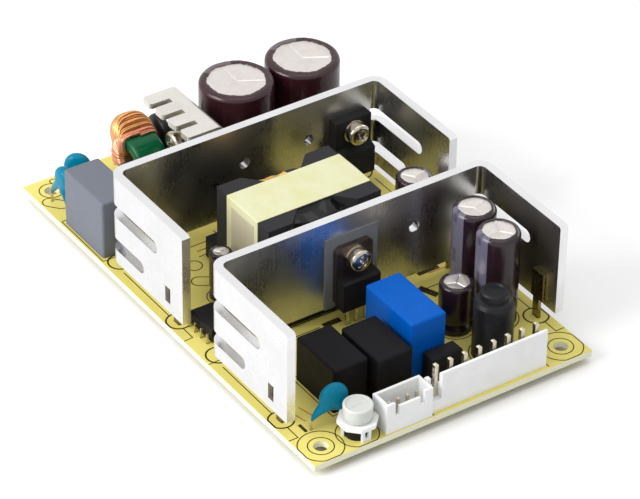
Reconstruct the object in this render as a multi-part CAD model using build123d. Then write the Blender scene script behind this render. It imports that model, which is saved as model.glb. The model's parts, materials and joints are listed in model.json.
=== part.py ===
from build123d import *
import os
from math import atan2, cos, degrees, hypot, radians, sin

# Open-frame power supply: one printed board with two folded heatsinks, the mains
# filter at the -X end, the transformer between the heatsinks, the output filter
# inside the front heatsink and the output pins along the +X edge.
# Millimetres, +Z up. The origin is the centre of the footprint, at the height of the
# trimmed ends of the leads, which are the lowest thing on the part.

# Board
BOARD_LENGTH = 127.0
BOARD_WIDTH = 76.2
BOARD_THICKNESS = 1.6
HALF_LENGTH = BOARD_LENGTH / 2
HALF_WIDTH = BOARD_WIDTH / 2
MOUNT_HOLE_RADIUS = 1.75
MOUNT_HOLE_INSET = 5.08
LEAD_TAIL = 2.0
SOLDER_SPREAD = 0.65
EDGE_JOINT_HEIGHT = 0.6
LEAD_TIP_RADIUS = 0.4
HOLE_CLEARANCE = 0.12

# Folded heatsinks: a web across the board and a flange along each long edge
SINK_THICKNESS = 2.2
SINK_BEND_RADIUS = 1.7
SINK_LIFT = 4.3
SINK_TOP = 28.4
SINK_LENGTH = 32.4
SINK_EDGE_GAP = 0.1
SINK_CORNER_CHAMFER = 0.5
PRIMARY_SINK_X = -22.9
SECONDARY_SINK_X = 19.9
UPPER_SLOT_Z = 18.9
UPPER_SLOT_HEIGHT = 3.4
UPPER_SLOT_LENGTH = 21.6
LOWER_SLOT_Z = 9.5
LOWER_SLOT_HEIGHT = 3.2
LOWER_SLOT_LENGTH = 15.6
WINDOW_WIDTH = 2.2
WINDOW_HEIGHT = 4.2
WINDOW_Z = 8.9
SPARE_HOLE_RADIUS = 1.45
SPARE_HOLE_Z = 18.1
PRIMARY_SPARE_HOLES_Y = (-1.7, 16.6)
SECONDARY_SPARE_HOLES_Y = (17.1,)

# Folded solder clips that hold the heatsinks on the board
CLIP_SHEET = 0.5
CLIP_FOLD_GAP = 0.3
CLIP_WIDTH = 4.2
CLIP_TOP_Z = 13.2
CLIP_BOTTOM_Z = 5.9
CLIP_BODY_SHIFT = 0.8
CLIP_LEG_WIDTH = 2.2
CLIP_LEG_THICKNESS = 0.8
CLIP_FROM_WEB = 26.0
CLIP_TONGUE_CLEARANCE = 0.15
REAR_CLIP_FROM_EDGE = 8.2

# Flat-backed semiconductors, their screws and washers
DEVICE_WIDTH = 10.2
DEVICE_THICKNESS = 4.6
DEVICE_TAB_THICKNESS = 2.7
METAL_TAB_THICKNESS = 1.3
DEVICE_ABOVE_HOLE = 3.3
DEVICE_BELOW_HOLE = 12.4
DEVICE_STEP_BELOW_HOLE = 4.4
DEVICE_LEAD_PITCH = 2.54
DEVICE_LEAD_WIDTH = 0.8
DEVICE_LEAD_THICKNESS = 0.5
DEVICE_LEAD_FROM_BACK = 2.4
SCREW_RADIUS = 1.5
SCREW_HEAD_RADIUS = 2.8
SCREW_HEAD_HEIGHT = 2.2
SCREW_END_PAST_PLATE = 2.0
SCREW_HOLE_CLEARANCE = 0.2
FLAT_WASHER_RADIUS = 3.0
FLAT_WASHER_THICKNESS = 0.5
SPRING_WASHER_RADIUS = 2.7
SPRING_WASHER_THICKNESS = 0.8
TRANSISTOR_FROM_EDGE = 10.5
TRANSISTOR_Y = HALF_WIDTH - TRANSISTOR_FROM_EDGE
TRANSISTOR_HOLE_Z = 18.3
DIODE_Y = -0.6
DIODE_HOLE_Z = 17.8
PAD_THICKNESS = 0.3
PAD_WIDTH = 14.4
PAD_HEIGHT = 19.6
PAD_BOTTOM_Z = 4.1

# Small finned bracket with the bridge rectifier
BRACKET_X = -44.5
BRACKET_LENGTH = 20.6
BRACKET_Y = -4.9
BRACKET_REACH = 10.4
BRACKET_TOP = 28.4
BRACKET_THICKNESS = 1.4
BRACKET_BEND_RADIUS = 1.0
BRACKET_SLOT_WIDTH = 1.7
BRACKET_SLOT_LENGTH = 5.2
BRACKET_FINGERS = 4
BRACKET_FOOT_Z = 2.4
BRACKET_FOOT_WIDTH = 2.0
BRACKET_TIP_RADIUS = 0.85
BRIDGE_X = -37.0
BRIDGE_HOLE_Z = 18.2

# Electrolytic capacitors; those inside a heatsink keep their distance from its flange
SLEEVE_THICKNESS = 0.3
SLEEVE_LIFT = 0.5
SLEEVE_LIP_SHARE = 0.78
CAN_EDGE_RADIUS = 1.0
BEAD_Z = 2.6
BEAD_DEPTH = 0.5
VENT_WIDTH = 0.35
VENT_DEPTH = 0.2
BULK_DIAMETER = 18.3
BULK_HEIGHT = 29.2
BULK_X = -38.0
BULK_1_Y = 7.2
BULK_2_Y = 26.1
OUTPUT_DIAMETER = 10.3
OUTPUT_HEIGHT = 25.0
OUTPUT_1_FROM_EDGE = 10.5
OUTPUT_2_FROM_EDGE = 11.3
OUTPUT_3_FROM_EDGE = 21.1
OUTPUT_1_X, OUTPUT_1_Y = 30.9, HALF_WIDTH - OUTPUT_1_FROM_EDGE
OUTPUT_2_X, OUTPUT_2_Y = 41.3, HALF_WIDTH - OUTPUT_2_FROM_EDGE
OUTPUT_3_X, OUTPUT_3_Y = 39.3, HALF_WIDTH - OUTPUT_3_FROM_EDGE
OUTPUT_3_DIAMETER = 8.2
OUTPUT_3_HEIGHT = 13.2
BIAS_X, BIAS_Y = 0.1, -21.7
BIAS_DIAMETER = 5.5
BIAS_HEIGHT = 13.2
SNUBBER_FROM_EDGE = 8.5
SNUBBER_X, SNUBBER_Y = 4.6, HALF_WIDTH - SNUBBER_FROM_EDGE
SNUBBER_DIAMETER = 9.0
SNUBBER_HEIGHT = 17.6

# Transformer with a waisted ferrite core
CORE_X, CORE_Y = 1.9, -1.4
CORE_LENGTH = 31.0
CORE_WIDTH = 21.8
CORE_HEIGHT = 20.2
CORE_BOTTOM_Z = 3.8
CORE_WAIST_WIDTH = 13.4
CORE_WAIST_LENGTH = 10.0
CORE_SHOULDER_LENGTH = 18.0
CORE_PLATE = 4.4
CORE_POST_RADIUS = 6.5
CORE_WINDOW_RADIUS = 13.6
BOBBIN_WALL = 0.9
BOBBIN_CLEARANCE = 0.2
WINDING_INSET = 0.4
RAIL_OUTER = 17.3
RAIL_WIDTH = 4.2
RAIL_LENGTH = 30.0
RAIL_BOTTOM_Z = 0.6
RAIL_TOP_Z = 5.6
RAIL_NECK_LENGTH = 9.0
TAPE_WIDTH = 12.9
TAPE_THICKNESS = 0.25
TRANSFORMER_PIN_RADIUS = 0.4
TRANSFORMER_PIN_PITCH = 5.08
TRANSFORMER_PINS_A_SIDE = 6

# Common-mode choke: a coated ring on edge with two wire windings on it
CHOKE_X, CHOKE_Y, CHOKE_Z = -45.3, -15.1, 10.2
CHOKE_OUTER_RADIUS = 6.3
CHOKE_INNER_RADIUS = 3.3
CHOKE_THICKNESS = 8.0
CHOKE_EDGE_RADIUS = 0.8
CHOKE_WIRE = 1.15
CHOKE_WIRE_GAP = 0.1
# Each winding: start angle, swept angle, number of turns and build-up over the ring
CHOKE_WINDINGS = ((92.0, 44.0, 6, 1.3), (138.0, 76.0, 10, 5.8))
CHOKE_BASE_LENGTH = 15.0
CHOKE_BASE_WIDTH = 8.6
CHOKE_BASE_HEIGHT = 1.4
CHOKE_PIN_INSET = 1.25
CHOKE_REST_LENGTH = 6.0
CHOKE_REST_HEIGHT = 5.0
CHOKE_REST_CLEARANCE = 0.1

# Box capacitors: centre x, centre y, length along x, width along y, height
BOX_EDGE_RADIUS = 0.6
X_CAPACITOR_FROM_EDGE = 5.9
X_CAPACITOR = (-36.2, X_CAPACITOR_FROM_EDGE - HALF_WIDTH, 17.6, 9.6, 15.5)
BLUE_CAPACITOR = (40.9, 1.6, 18.4, 9.5, 15.5)
BLACK_CAPACITOR_1 = (42.9, -19.7, 15.2, 9.3, 11.8)
BLACK_CAPACITOR_2 = (45.5, -9.4, 15.0, 9.4, 11.8)
BOX_LEAD_INSET = 1.5

# Ceramic discs: x and y midway between the leads, centre height, radius, thickness,
# turn about Z, lead pitch and lean of the disc along its own plane
DISC_LEAD_RADIUS = 0.3
DISC_LEAD_GRIP = 0.3
DISC_SKIRT_RADIUS = 1.2
DISC_SKIRT_END_RADIUS = 0.5
DISC_SKIRT_END_Z = 2.2
Y_CAPACITOR_1_FROM_EDGE = 10.2
Y_CAPACITOR_2_FROM_EDGE = 3.1
TRIM_DISC_FROM_EDGE = 10.2
Y_CAPACITOR_1 = (-54.2, Y_CAPACITOR_1_FROM_EDGE - HALF_WIDTH, 8.0, 3.3, 3.0, 50.0, 5.0, 0.0)
Y_CAPACITOR_2 = (-50.9, Y_CAPACITOR_2_FROM_EDGE - HALF_WIDTH, 10.2, 3.0, 3.0, 0.0, 7.5, 2.5)
TRIM_DISC = (52.9, TRIM_DISC_FROM_EDGE - HALF_WIDTH, 7.6, 3.4, 2.6, 82.0, 7.5, 1.75)
THERMISTOR = (-50.4, -7.2, 12.6, 5.4, 3.2, 0.0, 7.5, 0.0)

# Small modules
REGULATOR = (52.3, 4.0, 3.8, 8.3, 7.4)
CONTROL_IC_FROM_EDGE = 8.0
CONTROL_IC = (9.6, CONTROL_IC_FROM_EDGE - HALF_WIDTH, 9.6, 6.4)
CONTROL_IC_LIFT = 0.5
CONTROL_IC_TOP = 3.9
CONTROL_IC_PITCH = 2.54
CONTROL_IC_ROW_SPACING = 7.62
CONTROL_IC_LEAD = 0.5
OUTPUT_CHOKE_X, OUTPUT_CHOKE_Y = 51.7, 18.4
OUTPUT_CHOKE_RADIUS = 4.75
OUTPUT_CHOKE_HEIGHT = 17.8
OUTPUT_CHOKE_NECK = 3.3
OUTPUT_CHOKE_SHOULDER = 15.4

# Axial fuse at the mains end
FUSE_X, FUSE_Y = -59.0, 0.5
FUSE_RADIUS = 2.5
FUSE_LENGTH = 20.0
FUSE_CAP_LENGTH = 5.0
FUSE_CAP_WALL = 0.2
FUSE_LIFT = 0.8
FUSE_LEAD_RADIUS = 0.4
FUSE_LEAD_REACH = 2.4

# Power pin headers
PIN_PITCH = 3.96
PIN_SIZE = 1.0
PIN_TOP_Z = 12.1
PIN_POINT = 0.35
HEADER_BACK = 3.6
HEADER_FRONT = 2.0
HEADER_END = 2.0
HEADER_BASE_Z = 3.2
HEADER_WALL = 1.2
HEADER_WALL_TOP = 10.2
HEADER_WALL_START = 0.55
HEADER_POST_TOP = 8.2
HEADER_POST_THICKNESS = 1.0
HEADER_POST_PROUD = 0.1
HEADER_CLEARANCE = 0.03
OUTPUT_PIN_FROM_EDGE = 34.1
OUTPUT_PIN_X, OUTPUT_PIN_Y = 60.5, OUTPUT_PIN_FROM_EDGE - HALF_WIDTH
OUTPUT_PINS = 8
INPUT_PIN_X, INPUT_PIN_Y = -60.5, 24.6
INPUT_PINS = 3

# Shrouded control header
SHROUD_FROM_EDGE = 25.5
SHROUD_X, SHROUD_Y = 60.4, SHROUD_FROM_EDGE - HALF_WIDTH
SHROUD_DEPTH = 5.6
SHROUD_LENGTH = 12.5
SHROUD_HEIGHT = 8.0
SHROUD_WALL = 0.7
SHROUD_FLOOR = 1.6
SHROUD_LOW_WALL = 1.3
SHROUD_SLOT_WIDTH = 1.1
SHROUD_SLOT_DEPTH = 3.6
SHROUD_SLOT_SPACING = 6.8
CONTROL_PIN_PITCH = 2.5
CONTROL_PIN_SIZE = 0.64
CONTROL_PIN_TOP = 6.4
CONTROL_PINS = 4

# Adjusting potentiometer: base, frame and the knob that turns
TRIMMER_FROM_EDGE = 14.4
TRIMMER_X, TRIMMER_Y = 59.0, TRIMMER_FROM_EDGE - HALF_WIDTH
TRIMMER_BASE_RADIUS = 2.9
TRIMMER_BASE_HEIGHT = 3.4
FRAME_ACROSS = 8.8
FRAME_THICKNESS = 1.0
FRAME_LEG_WIDTH = 2.4
FRAME_LEG_THICKNESS = 0.6
FRAME_LEG_GAP = 0.15
FRAME_LEG_SLOT_WIDTH = 0.9
FRAME_LEG_SLOT_HEIGHT = 1.8
FRAME_LEG_ANGLES = (0, 120, 240)
KNOB_RADIUS = 3.65
KNOB_HEIGHT = 3.8
KNOB_EDGE_RADIUS = 0.35
KNOB_RUNNING_GAP = 0.3
KNOB_SPINDLE_RADIUS = 1.5
KNOB_SLOT_WIDTH = 0.6
KNOB_SLOT_DEPTH = 0.3
KNOB_SLOT_LENGTH = 3.6

# Values worked out from the driving dimensions
BOARD_BOTTOM = LEAD_TAIL
TOP = BOARD_BOTTOM + BOARD_THICKNESS
SINK_HALF_WIDTH = HALF_WIDTH - SINK_EDGE_GAP
CLIP_THICKNESS = 2 * CLIP_SHEET + CLIP_FOLD_GAP
TINY = 0.01

nodes = {}
lead_solids = []
joint_points = []
clip_joint_points = []
board_cutters = []


def block(x0, x1, y0, y1, z0, z1):
    """Box between two corners, with heights measured from the board's top face."""
    middle = Pos((x0 + x1) / 2, (y0 + y1) / 2, TOP + (z0 + z1) / 2)
    return middle * Box(x1 - x0, y1 - y0, z1 - z0)


def post(x, y, z0, z1, radius):
    """Upright cylinder, with heights measured from the board's top face."""
    return Pos(x, y, TOP + (z0 + z1) / 2) * Cylinder(radius, z1 - z0)


def revolved(points):
    """Solid of revolution about Z from (radius, height) points."""
    return revolve(make_face(Plane.XZ * Polyline(*points, close=True)), Axis.Z)


def group(solids):
    """Several separate solids kept in one node."""
    return Compound([solid for shape in solids for solid in shape.solids()])


def round_joint(x, y, radius, height=LEAD_TAIL):
    """Solder joint of this height under a lead of this radius."""
    joint_points.append((x, y, radius, height))


def through_lead(x, y, z_top, half_x, half_y):
    """Square lead from z_top to the board's underside, with its hole and joint."""
    lead_solids.append(square_pin(x, y, z_top, half_x, half_y))


def square_pin(x, y, z_top, half_x, half_y):
    """Square pin that passes the board in a clearance hole and ends in a joint."""
    gap = HOLE_CLEARANCE
    hole = block(x - half_x - gap, x + half_x + gap, y - half_y - gap, y + half_y + gap,
                 -BOARD_THICKNESS - TINY, TINY)
    board_cutters.append(hole)
    round_joint(x, y, max(half_x, half_y))
    return block(x - half_x, x + half_x, y - half_y, y + half_y, -BOARD_THICKNESS, z_top)


def round_pin(x, y, z_top, radius):
    """Round pin that passes the board in a clearance hole and ends in a joint."""
    board_cutters.append(post(x, y, -BOARD_THICKNESS - TINY, TINY, radius + HOLE_CLEARANCE))
    round_joint(x, y, radius)
    return post(x, y, -BOARD_THICKNESS, z_top, radius)


def heatsink(web_x, spare_holes_y, screw_y, screw_z):
    """Folded sheet with slots round its bends, clip windows and screw holes."""
    outer_radius = SINK_BEND_RADIUS + SINK_THICKNESS
    inner_x = web_x + SINK_THICKNESS
    front_x = web_x + SINK_LENGTH
    inner_half = SINK_HALF_WIDTH - SINK_THICKNESS
    height = SINK_TOP - SINK_LIFT

    outer = block(web_x, front_x, -SINK_HALF_WIDTH, SINK_HALF_WIDTH, SINK_LIFT, SINK_TOP)
    outer = fillet(outer.edges().filter_by(Axis.Z).group_by(Axis.X)[0], outer_radius)
    inner = block(inner_x, front_x + height, -inner_half, inner_half,
                  SINK_LIFT - TINY, SINK_TOP + TINY)
    inner = fillet(inner.edges().filter_by(Axis.Z).group_by(Axis.X)[0], SINK_BEND_RADIUS)
    sink = outer - inner
    corners = sink.edges().filter_by(Axis.Y).group_by(Axis.X)[-1].group_by(Axis.Z)[-1]
    sink = chamfer(corners, SINK_CORNER_CHAMFER)

    slot_rows = (
        (UPPER_SLOT_Z, UPPER_SLOT_HEIGHT, UPPER_SLOT_LENGTH),
        (LOWER_SLOT_Z, LOWER_SLOT_HEIGHT, LOWER_SLOT_LENGTH),
    )
    window_x = web_x + CLIP_FROM_WEB
    cutters = []
    for side in (-1, 1):
        near = side * (SINK_HALF_WIDTH - outer_radius)
        far = side * (SINK_HALF_WIDTH + TINY)
        low, high = min(near, far), max(near, far)
        for z, slot_height, length in slot_rows:
            tip_x = web_x + length - slot_height / 2
            cutters.append(block(web_x - TINY, tip_x, low, high,
                                 z - slot_height / 2, z + slot_height / 2))
            end = Pos(tip_x, (low + high) / 2, TOP + z) * Rot(90, 0, 0)
            cutters.append(end * Cylinder(slot_height / 2, high - low))
        cutters.append(block(window_x - WINDOW_WIDTH / 2, window_x + WINDOW_WIDTH / 2, low, high,
                             WINDOW_Z - WINDOW_HEIGHT / 2, WINDOW_Z + WINDOW_HEIGHT / 2))
    for y in spare_holes_y:
        cutters.append(along_x(web_x, y, SPARE_HOLE_Z, SPARE_HOLE_RADIUS))
    cutters.append(along_x(web_x, screw_y, screw_z, SCREW_RADIUS + HOLE_CLEARANCE))
    return sink - cutters


def along_x(web_x, y, z, radius):
    """Cutter for a round hole through a heatsink's web."""
    place = Pos(web_x + SINK_THICKNESS / 2, y, TOP + z) * Rot(0, 90, 0)
    return place * Cylinder(radius, SINK_THICKNESS + 2 * TINY)


def clip_shape(with_tongue, shift):
    """Folded clip, its back on the plane y = 0 and its sheet moved along from its leg."""
    low, high = shift - CLIP_WIDTH / 2, shift + CLIP_WIDTH / 2
    outer = block(low, high, 0, CLIP_THICKNESS, CLIP_BOTTOM_Z, CLIP_TOP_Z)
    fold = block(low - TINY, high + TINY, CLIP_SHEET, CLIP_SHEET + CLIP_FOLD_GAP,
                 CLIP_BOTTOM_Z - TINY, CLIP_TOP_Z - CLIP_SHEET)
    leg = block(-CLIP_LEG_WIDTH / 2, CLIP_LEG_WIDTH / 2, 0, CLIP_LEG_THICKNESS,
                -BOARD_THICKNESS, CLIP_BOTTOM_Z + CLIP_SHEET)
    clip = outer - fold + leg
    if with_tongue:
        half_wide = WINDOW_WIDTH / 2 - CLIP_TONGUE_CLEARANCE
        half_high = WINDOW_HEIGHT / 2 - CLIP_TONGUE_CLEARANCE
        clip += block(-half_wide, half_wide, -SINK_THICKNESS / 2, CLIP_SHEET,
                      WINDOW_Z - half_high, WINDOW_Z + half_high)
    return clip


def heatsink_clips():
    """Two clips inside the flanges and two behind the web of each heatsink."""
    clips = []
    inner_half = SINK_HALF_WIDTH - SINK_THICKNESS
    middle = CLIP_LEG_THICKNESS / 2
    for web_x in (PRIMARY_SINK_X, SECONDARY_SINK_X):
        for side in (-1, 1):
            x = web_x + CLIP_FROM_WEB
            y = side * inner_half
            turn = 0 if side < 0 else 180
            shape = clip_shape(True, -side * CLIP_BODY_SHIFT)
            clips.append(Pos(x, y, 0) * Rot(0, 0, turn) * shape)
            add_clip_hole(x, y - side * middle, CLIP_LEG_WIDTH / 2, middle)
            rear_y = side * (HALF_WIDTH - REAR_CLIP_FROM_EDGE)
            clips.append(Pos(web_x, rear_y, 0) * Rot(0, 0, 90) * clip_shape(False, 0))
            add_clip_hole(web_x - middle, rear_y, middle, CLIP_LEG_WIDTH / 2)
    return group(clips)


def add_clip_hole(x, y, half_x, half_y):
    """Slot in the board for a clip's leg, with its joint."""
    gap = HOLE_CLEARANCE
    board_cutters.append(block(x - half_x - gap, x + half_x + gap, y - half_y - gap,
                               y + half_y + gap, -BOARD_THICKNESS - TINY, TINY))
    clip_joint_points.append((x, y, max(half_x, half_y), LEAD_TAIL))


def device_body(tab_back, tab_front):
    """Moulded body on the plane x = 0, its hole at the origin, the tab between two depths."""
    bottom = -DEVICE_BELOW_HOLE
    step = -DEVICE_STEP_BELOW_HOLE
    slope = DEVICE_THICKNESS - tab_front
    outline = [
        (tab_back, DEVICE_ABOVE_HOLE), (tab_front, DEVICE_ABOVE_HOLE), (tab_front, step),
        (DEVICE_THICKNESS, step - slope / 2), (DEVICE_THICKNESS, bottom), (tab_back, bottom),
    ]
    face = make_face(Plane.XZ * Polyline(*outline, close=True))
    body = extrude(face, DEVICE_WIDTH / 2, both=True)
    hole = Rot(0, 90, 0) * Cylinder(SCREW_RADIUS + SCREW_HOLE_CLEARANCE, 3 * DEVICE_THICKNESS)
    return body - hole


def overmoulded_half(depth):
    """Lower half of a device whose bare metal tab stands above it."""
    bottom = -DEVICE_BELOW_HOLE
    step = -DEVICE_STEP_BELOW_HOLE
    outline = [
        (METAL_TAB_THICKNESS, step), (depth - 0.6, step), (depth, step - 0.6),
        (depth, bottom), (METAL_TAB_THICKNESS, bottom),
    ]
    face = make_face(Plane.XZ * Polyline(*outline, close=True))
    return extrude(face, DEVICE_WIDTH / 2, both=True)


def metal_tab():
    """Bare metal tab of the rectifier, with its screw hole."""
    bottom = -DEVICE_BELOW_HOLE + 0.6
    half = DEVICE_WIDTH / 2 - 0.1
    tab = Pos(METAL_TAB_THICKNESS / 2, 0, (DEVICE_ABOVE_HOLE + bottom) / 2) * Box(
        METAL_TAB_THICKNESS, 2 * half, DEVICE_ABOVE_HOLE - bottom)
    top_corners = tab.edges().filter_by(Axis.X).group_by(Axis.Z)[-1]
    tab = chamfer(top_corners, 1.0)
    hole = Rot(0, 90, 0) * Cylinder(SCREW_RADIUS + SCREW_HOLE_CLEARANCE, 3 * DEVICE_THICKNESS)
    return tab - hole


def screw(grip, plate):
    """Pan-head screw whose head seats at x = grip, with a cross recess."""
    start = -(plate + SCREW_END_PAST_PLATE)
    length = grip - start
    shaft = Pos((grip + start) / 2, 0, 0) * Rot(0, 90, 0) * Cylinder(SCREW_RADIUS, length)
    head_middle = grip + SCREW_HEAD_HEIGHT / 2
    head = Rot(0, 90, 0) * Cylinder(SCREW_HEAD_RADIUS, SCREW_HEAD_HEIGHT)
    head = fillet(head.edges().group_by(Axis.X)[-1], SCREW_HEAD_HEIGHT * 0.45)
    recess_long = SCREW_HEAD_RADIUS * 1.1
    recess_wide = SCREW_HEAD_RADIUS * 0.3
    recess_depth = SCREW_HEAD_HEIGHT * 0.55
    recess = Pos(SCREW_HEAD_HEIGHT / 2, 0, 0) * (
        Box(2 * recess_depth, recess_long, recess_wide)
        + Box(2 * recess_depth, recess_wide, recess_long))
    return shaft + Pos(head_middle, 0, 0) * (head - recess)


def washer(radius, thickness, x, split):
    """Ring on the screw from x, split by a gap if it is a spring washer."""
    place = Pos(x + thickness / 2, 0, 0) * Rot(0, 90, 0)
    ring = Cylinder(radius, thickness) - Cylinder(SCREW_RADIUS + HOLE_CLEARANCE, 3 * thickness)
    if split:
        ring -= Pos(0, radius, 0) * Rot(30, 0, 0) * Box(radius * 0.2, 2 * radius, 3 * thickness)
    return place * ring


def fixing_set(place, tab_thickness, plate):
    """Screw and both washers of one device, moved to their place."""
    flat = washer(FLAT_WASHER_RADIUS, FLAT_WASHER_THICKNESS, tab_thickness, False)
    spring_x = tab_thickness + FLAT_WASHER_THICKNESS
    spring = washer(SPRING_WASHER_RADIUS, SPRING_WASHER_THICKNESS, spring_x, True)
    fixing = screw(spring_x + SPRING_WASHER_THICKNESS, plate)
    return place * fixing, place * spring, place * flat


def device_leads(x, y, hole_z, turned):
    """Three flat leads from the bottom of a device into the board."""
    top = hole_z - DEVICE_BELOW_HOLE
    half_wide = DEVICE_LEAD_WIDTH / 2
    half_thick = DEVICE_LEAD_THICKNESS / 2
    for step in (-1, 0, 1):
        shift = step * DEVICE_LEAD_PITCH
        if turned:
            through_lead(x + shift, y - DEVICE_LEAD_FROM_BACK, top, half_wide, half_thick)
        else:
            through_lead(x + DEVICE_LEAD_FROM_BACK, y + shift, top, half_thick, half_wide)


def semiconductors():
    """Transistor, rectifier and bridge with their screws, washers and leads."""
    web_face = PRIMARY_SINK_X + SINK_THICKNESS
    pad_back = SECONDARY_SINK_X + SINK_THICKNESS
    pad_face = pad_back + PAD_THICKNESS
    bridge_face = BRACKET_Y - BRACKET_THICKNESS

    transistor_place = Pos(web_face, TRANSISTOR_Y, TOP + TRANSISTOR_HOLE_Z)
    diode_place = Pos(pad_face, DIODE_Y, TOP + DIODE_HOLE_Z)
    bridge_place = Pos(BRIDGE_X, bridge_face, TOP + BRIDGE_HOLE_Z) * Rot(0, 0, -90)

    nodes["switching_transistor"] = transistor_place * device_body(0, DEVICE_TAB_THICKNESS)
    nodes["bridge_rectifier"] = bridge_place * device_body(0, DEVICE_TAB_THICKNESS)
    nodes["rectifier_diode_body"] = diode_place * overmoulded_half(DEVICE_THICKNESS)
    nodes["rectifier_diode_tab"] = diode_place * metal_tab()

    pad = block(pad_back, pad_face, DIODE_Y - PAD_WIDTH / 2, DIODE_Y + PAD_WIDTH / 2,
                PAD_BOTTOM_Z, PAD_BOTTOM_Z + PAD_HEIGHT)
    pad_hole = diode_place * Rot(0, 90, 0) * Cylinder(SCREW_RADIUS + SCREW_HOLE_CLEARANCE, 4)
    nodes["insulating_pad"] = pad - pad_hole

    sets = (
        fixing_set(transistor_place, DEVICE_TAB_THICKNESS, SINK_THICKNESS),
        fixing_set(diode_place, METAL_TAB_THICKNESS, PAD_THICKNESS + SINK_THICKNESS),
        fixing_set(bridge_place, DEVICE_TAB_THICKNESS, BRACKET_THICKNESS),
    )
    nodes["fixing_screws"] = group([each[0] for each in sets])
    nodes["spring_washers"] = group([each[1] for each in sets])
    nodes["flat_washers"] = group([each[2] for each in sets])

    device_leads(web_face, TRANSISTOR_Y, TRANSISTOR_HOLE_Z, False)
    device_leads(pad_face, DIODE_Y, DIODE_HOLE_Z, False)
    device_leads(BRIDGE_X, bridge_face, BRIDGE_HOLE_Z, True)


def finned_bracket():
    """Folded bracket: an upright leg and a top plate slotted into fingers."""
    x0 = BRACKET_X
    x1 = BRACKET_X + BRACKET_LENGTH
    tip_y = BRACKET_Y - BRACKET_REACH
    outer = block(x0, x1, tip_y, BRACKET_Y, BRACKET_FOOT_Z, BRACKET_TOP)
    outer = fillet(outer.edges().filter_by(Axis.X).sort_by(lambda e: e.center().Y + e.center().Z)[-1],
                   BRACKET_BEND_RADIUS + BRACKET_THICKNESS)
    inner = block(x0 - TINY, x1 + TINY, tip_y - BRACKET_REACH, BRACKET_Y - BRACKET_THICKNESS,
                  BRACKET_FOOT_Z - TINY, BRACKET_TOP - BRACKET_THICKNESS)
    inner = fillet(inner.edges().filter_by(Axis.X).sort_by(lambda e: e.center().Y + e.center().Z)[-1],
                   BRACKET_BEND_RADIUS)
    bracket = outer - inner
    slots = BRACKET_FINGERS - 1
    finger = (BRACKET_LENGTH - slots * BRACKET_SLOT_WIDTH) / BRACKET_FINGERS
    for index in range(slots):
        slot_x = x0 + finger + index * (finger + BRACKET_SLOT_WIDTH)
        bracket -= block(slot_x, slot_x + BRACKET_SLOT_WIDTH, tip_y - TINY,
                         tip_y + BRACKET_SLOT_LENGTH, BRACKET_FOOT_Z, BRACKET_TOP + TINY)
    tips = bracket.edges().filter_by(Axis.Z).group_by(Axis.Y)[0]
    bracket = fillet(tips, BRACKET_TIP_RADIUS)
    hole = Pos(BRIDGE_X, BRACKET_Y, TOP + BRIDGE_HOLE_Z) * Rot(90, 0, 0)
    bracket -= hole * Cylinder(SCREW_RADIUS + HOLE_CLEARANCE, 4 * BRACKET_THICKNESS)
    half_foot = BRACKET_FOOT_WIDTH / 2
    middle_y = BRACKET_Y - BRACKET_THICKNESS / 2
    for foot_x in (x0 + BRACKET_FOOT_WIDTH, x1 - BRACKET_FOOT_WIDTH):
        half_thick = BRACKET_THICKNESS / 2 - 0.2
        add_clip_hole(foot_x, middle_y, half_foot, half_thick)
        bracket += block(foot_x - half_foot, foot_x + half_foot, middle_y - half_thick,
                         middle_y + half_thick, -BOARD_THICKNESS, BRACKET_FOOT_Z + TINY)
    return bracket


def electrolytic(name, x, y, diameter, height, lead_gap):
    """Aluminium can with a scored vent inside a shrunk sleeve that laps over its edge."""
    can_radius = diameter / 2 - SLEEVE_THICKNESS
    lip_radius = can_radius * SLEEVE_LIP_SHARE
    can_top = height - SLEEVE_THICKNESS
    edge = min(CAN_EDGE_RADIUS, can_radius * 0.2)

    can = post(x, y, 0, can_top, can_radius)
    can = fillet(can.edges().group_by(Axis.Z)[-1], edge)
    can -= bead(x, y, can_radius)
    sleeve = post(x, y, SLEEVE_LIFT, height, diameter / 2)
    sleeve = fillet(sleeve.edges().group_by(Axis.Z)[-1], edge + SLEEVE_THICKNESS)
    sleeve -= bead(x, y, diameter / 2)
    sleeve -= can
    sleeve -= post(x, y, can_top - TINY, height + TINY, lip_radius)

    arm = lip_radius * 0.86
    scores = []
    for angle in (90, 210, 330):
        place = Pos(x, y, TOP + can_top) * Rot(0, 0, angle) * Pos(arm / 2, 0, 0)
        scores.append(place * Box(arm, VENT_WIDTH, 2 * VENT_DEPTH))
    nodes[name + "_can"] = can - scores
    nodes[name + "_sleeve"] = sleeve
    for side in (-1, 1):
        round_joint(x, y + side * lead_gap / 2, LEAD_TIP_RADIUS)


def bead(x, y, radius):
    """Cutter for the rolled groove near the foot of a can."""
    half = BEAD_DEPTH * 1.2
    ring = revolved([(radius - BEAD_DEPTH, BEAD_Z), (radius + BEAD_DEPTH, BEAD_Z - 2 * half),
                     (radius + BEAD_DEPTH, BEAD_Z + 2 * half)])
    return Pos(x, y, TOP) * ring


def box_capacitor(place):
    """Moulded box standing on the board, its top and upright edges rounded."""
    x, y, length, width, height = place
    box = block(x - length / 2, x + length / 2, y - width / 2, y + width / 2, 0, height)
    edges = box.edges().filter_by(Axis.Z) + box.edges().group_by(Axis.Z)[-1]
    for side in (-1, 1):
        round_joint(x + side * (length / 2 - BOX_LEAD_INSET), y, LEAD_TIP_RADIUS)
    return fillet(edges, BOX_EDGE_RADIUS)


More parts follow.
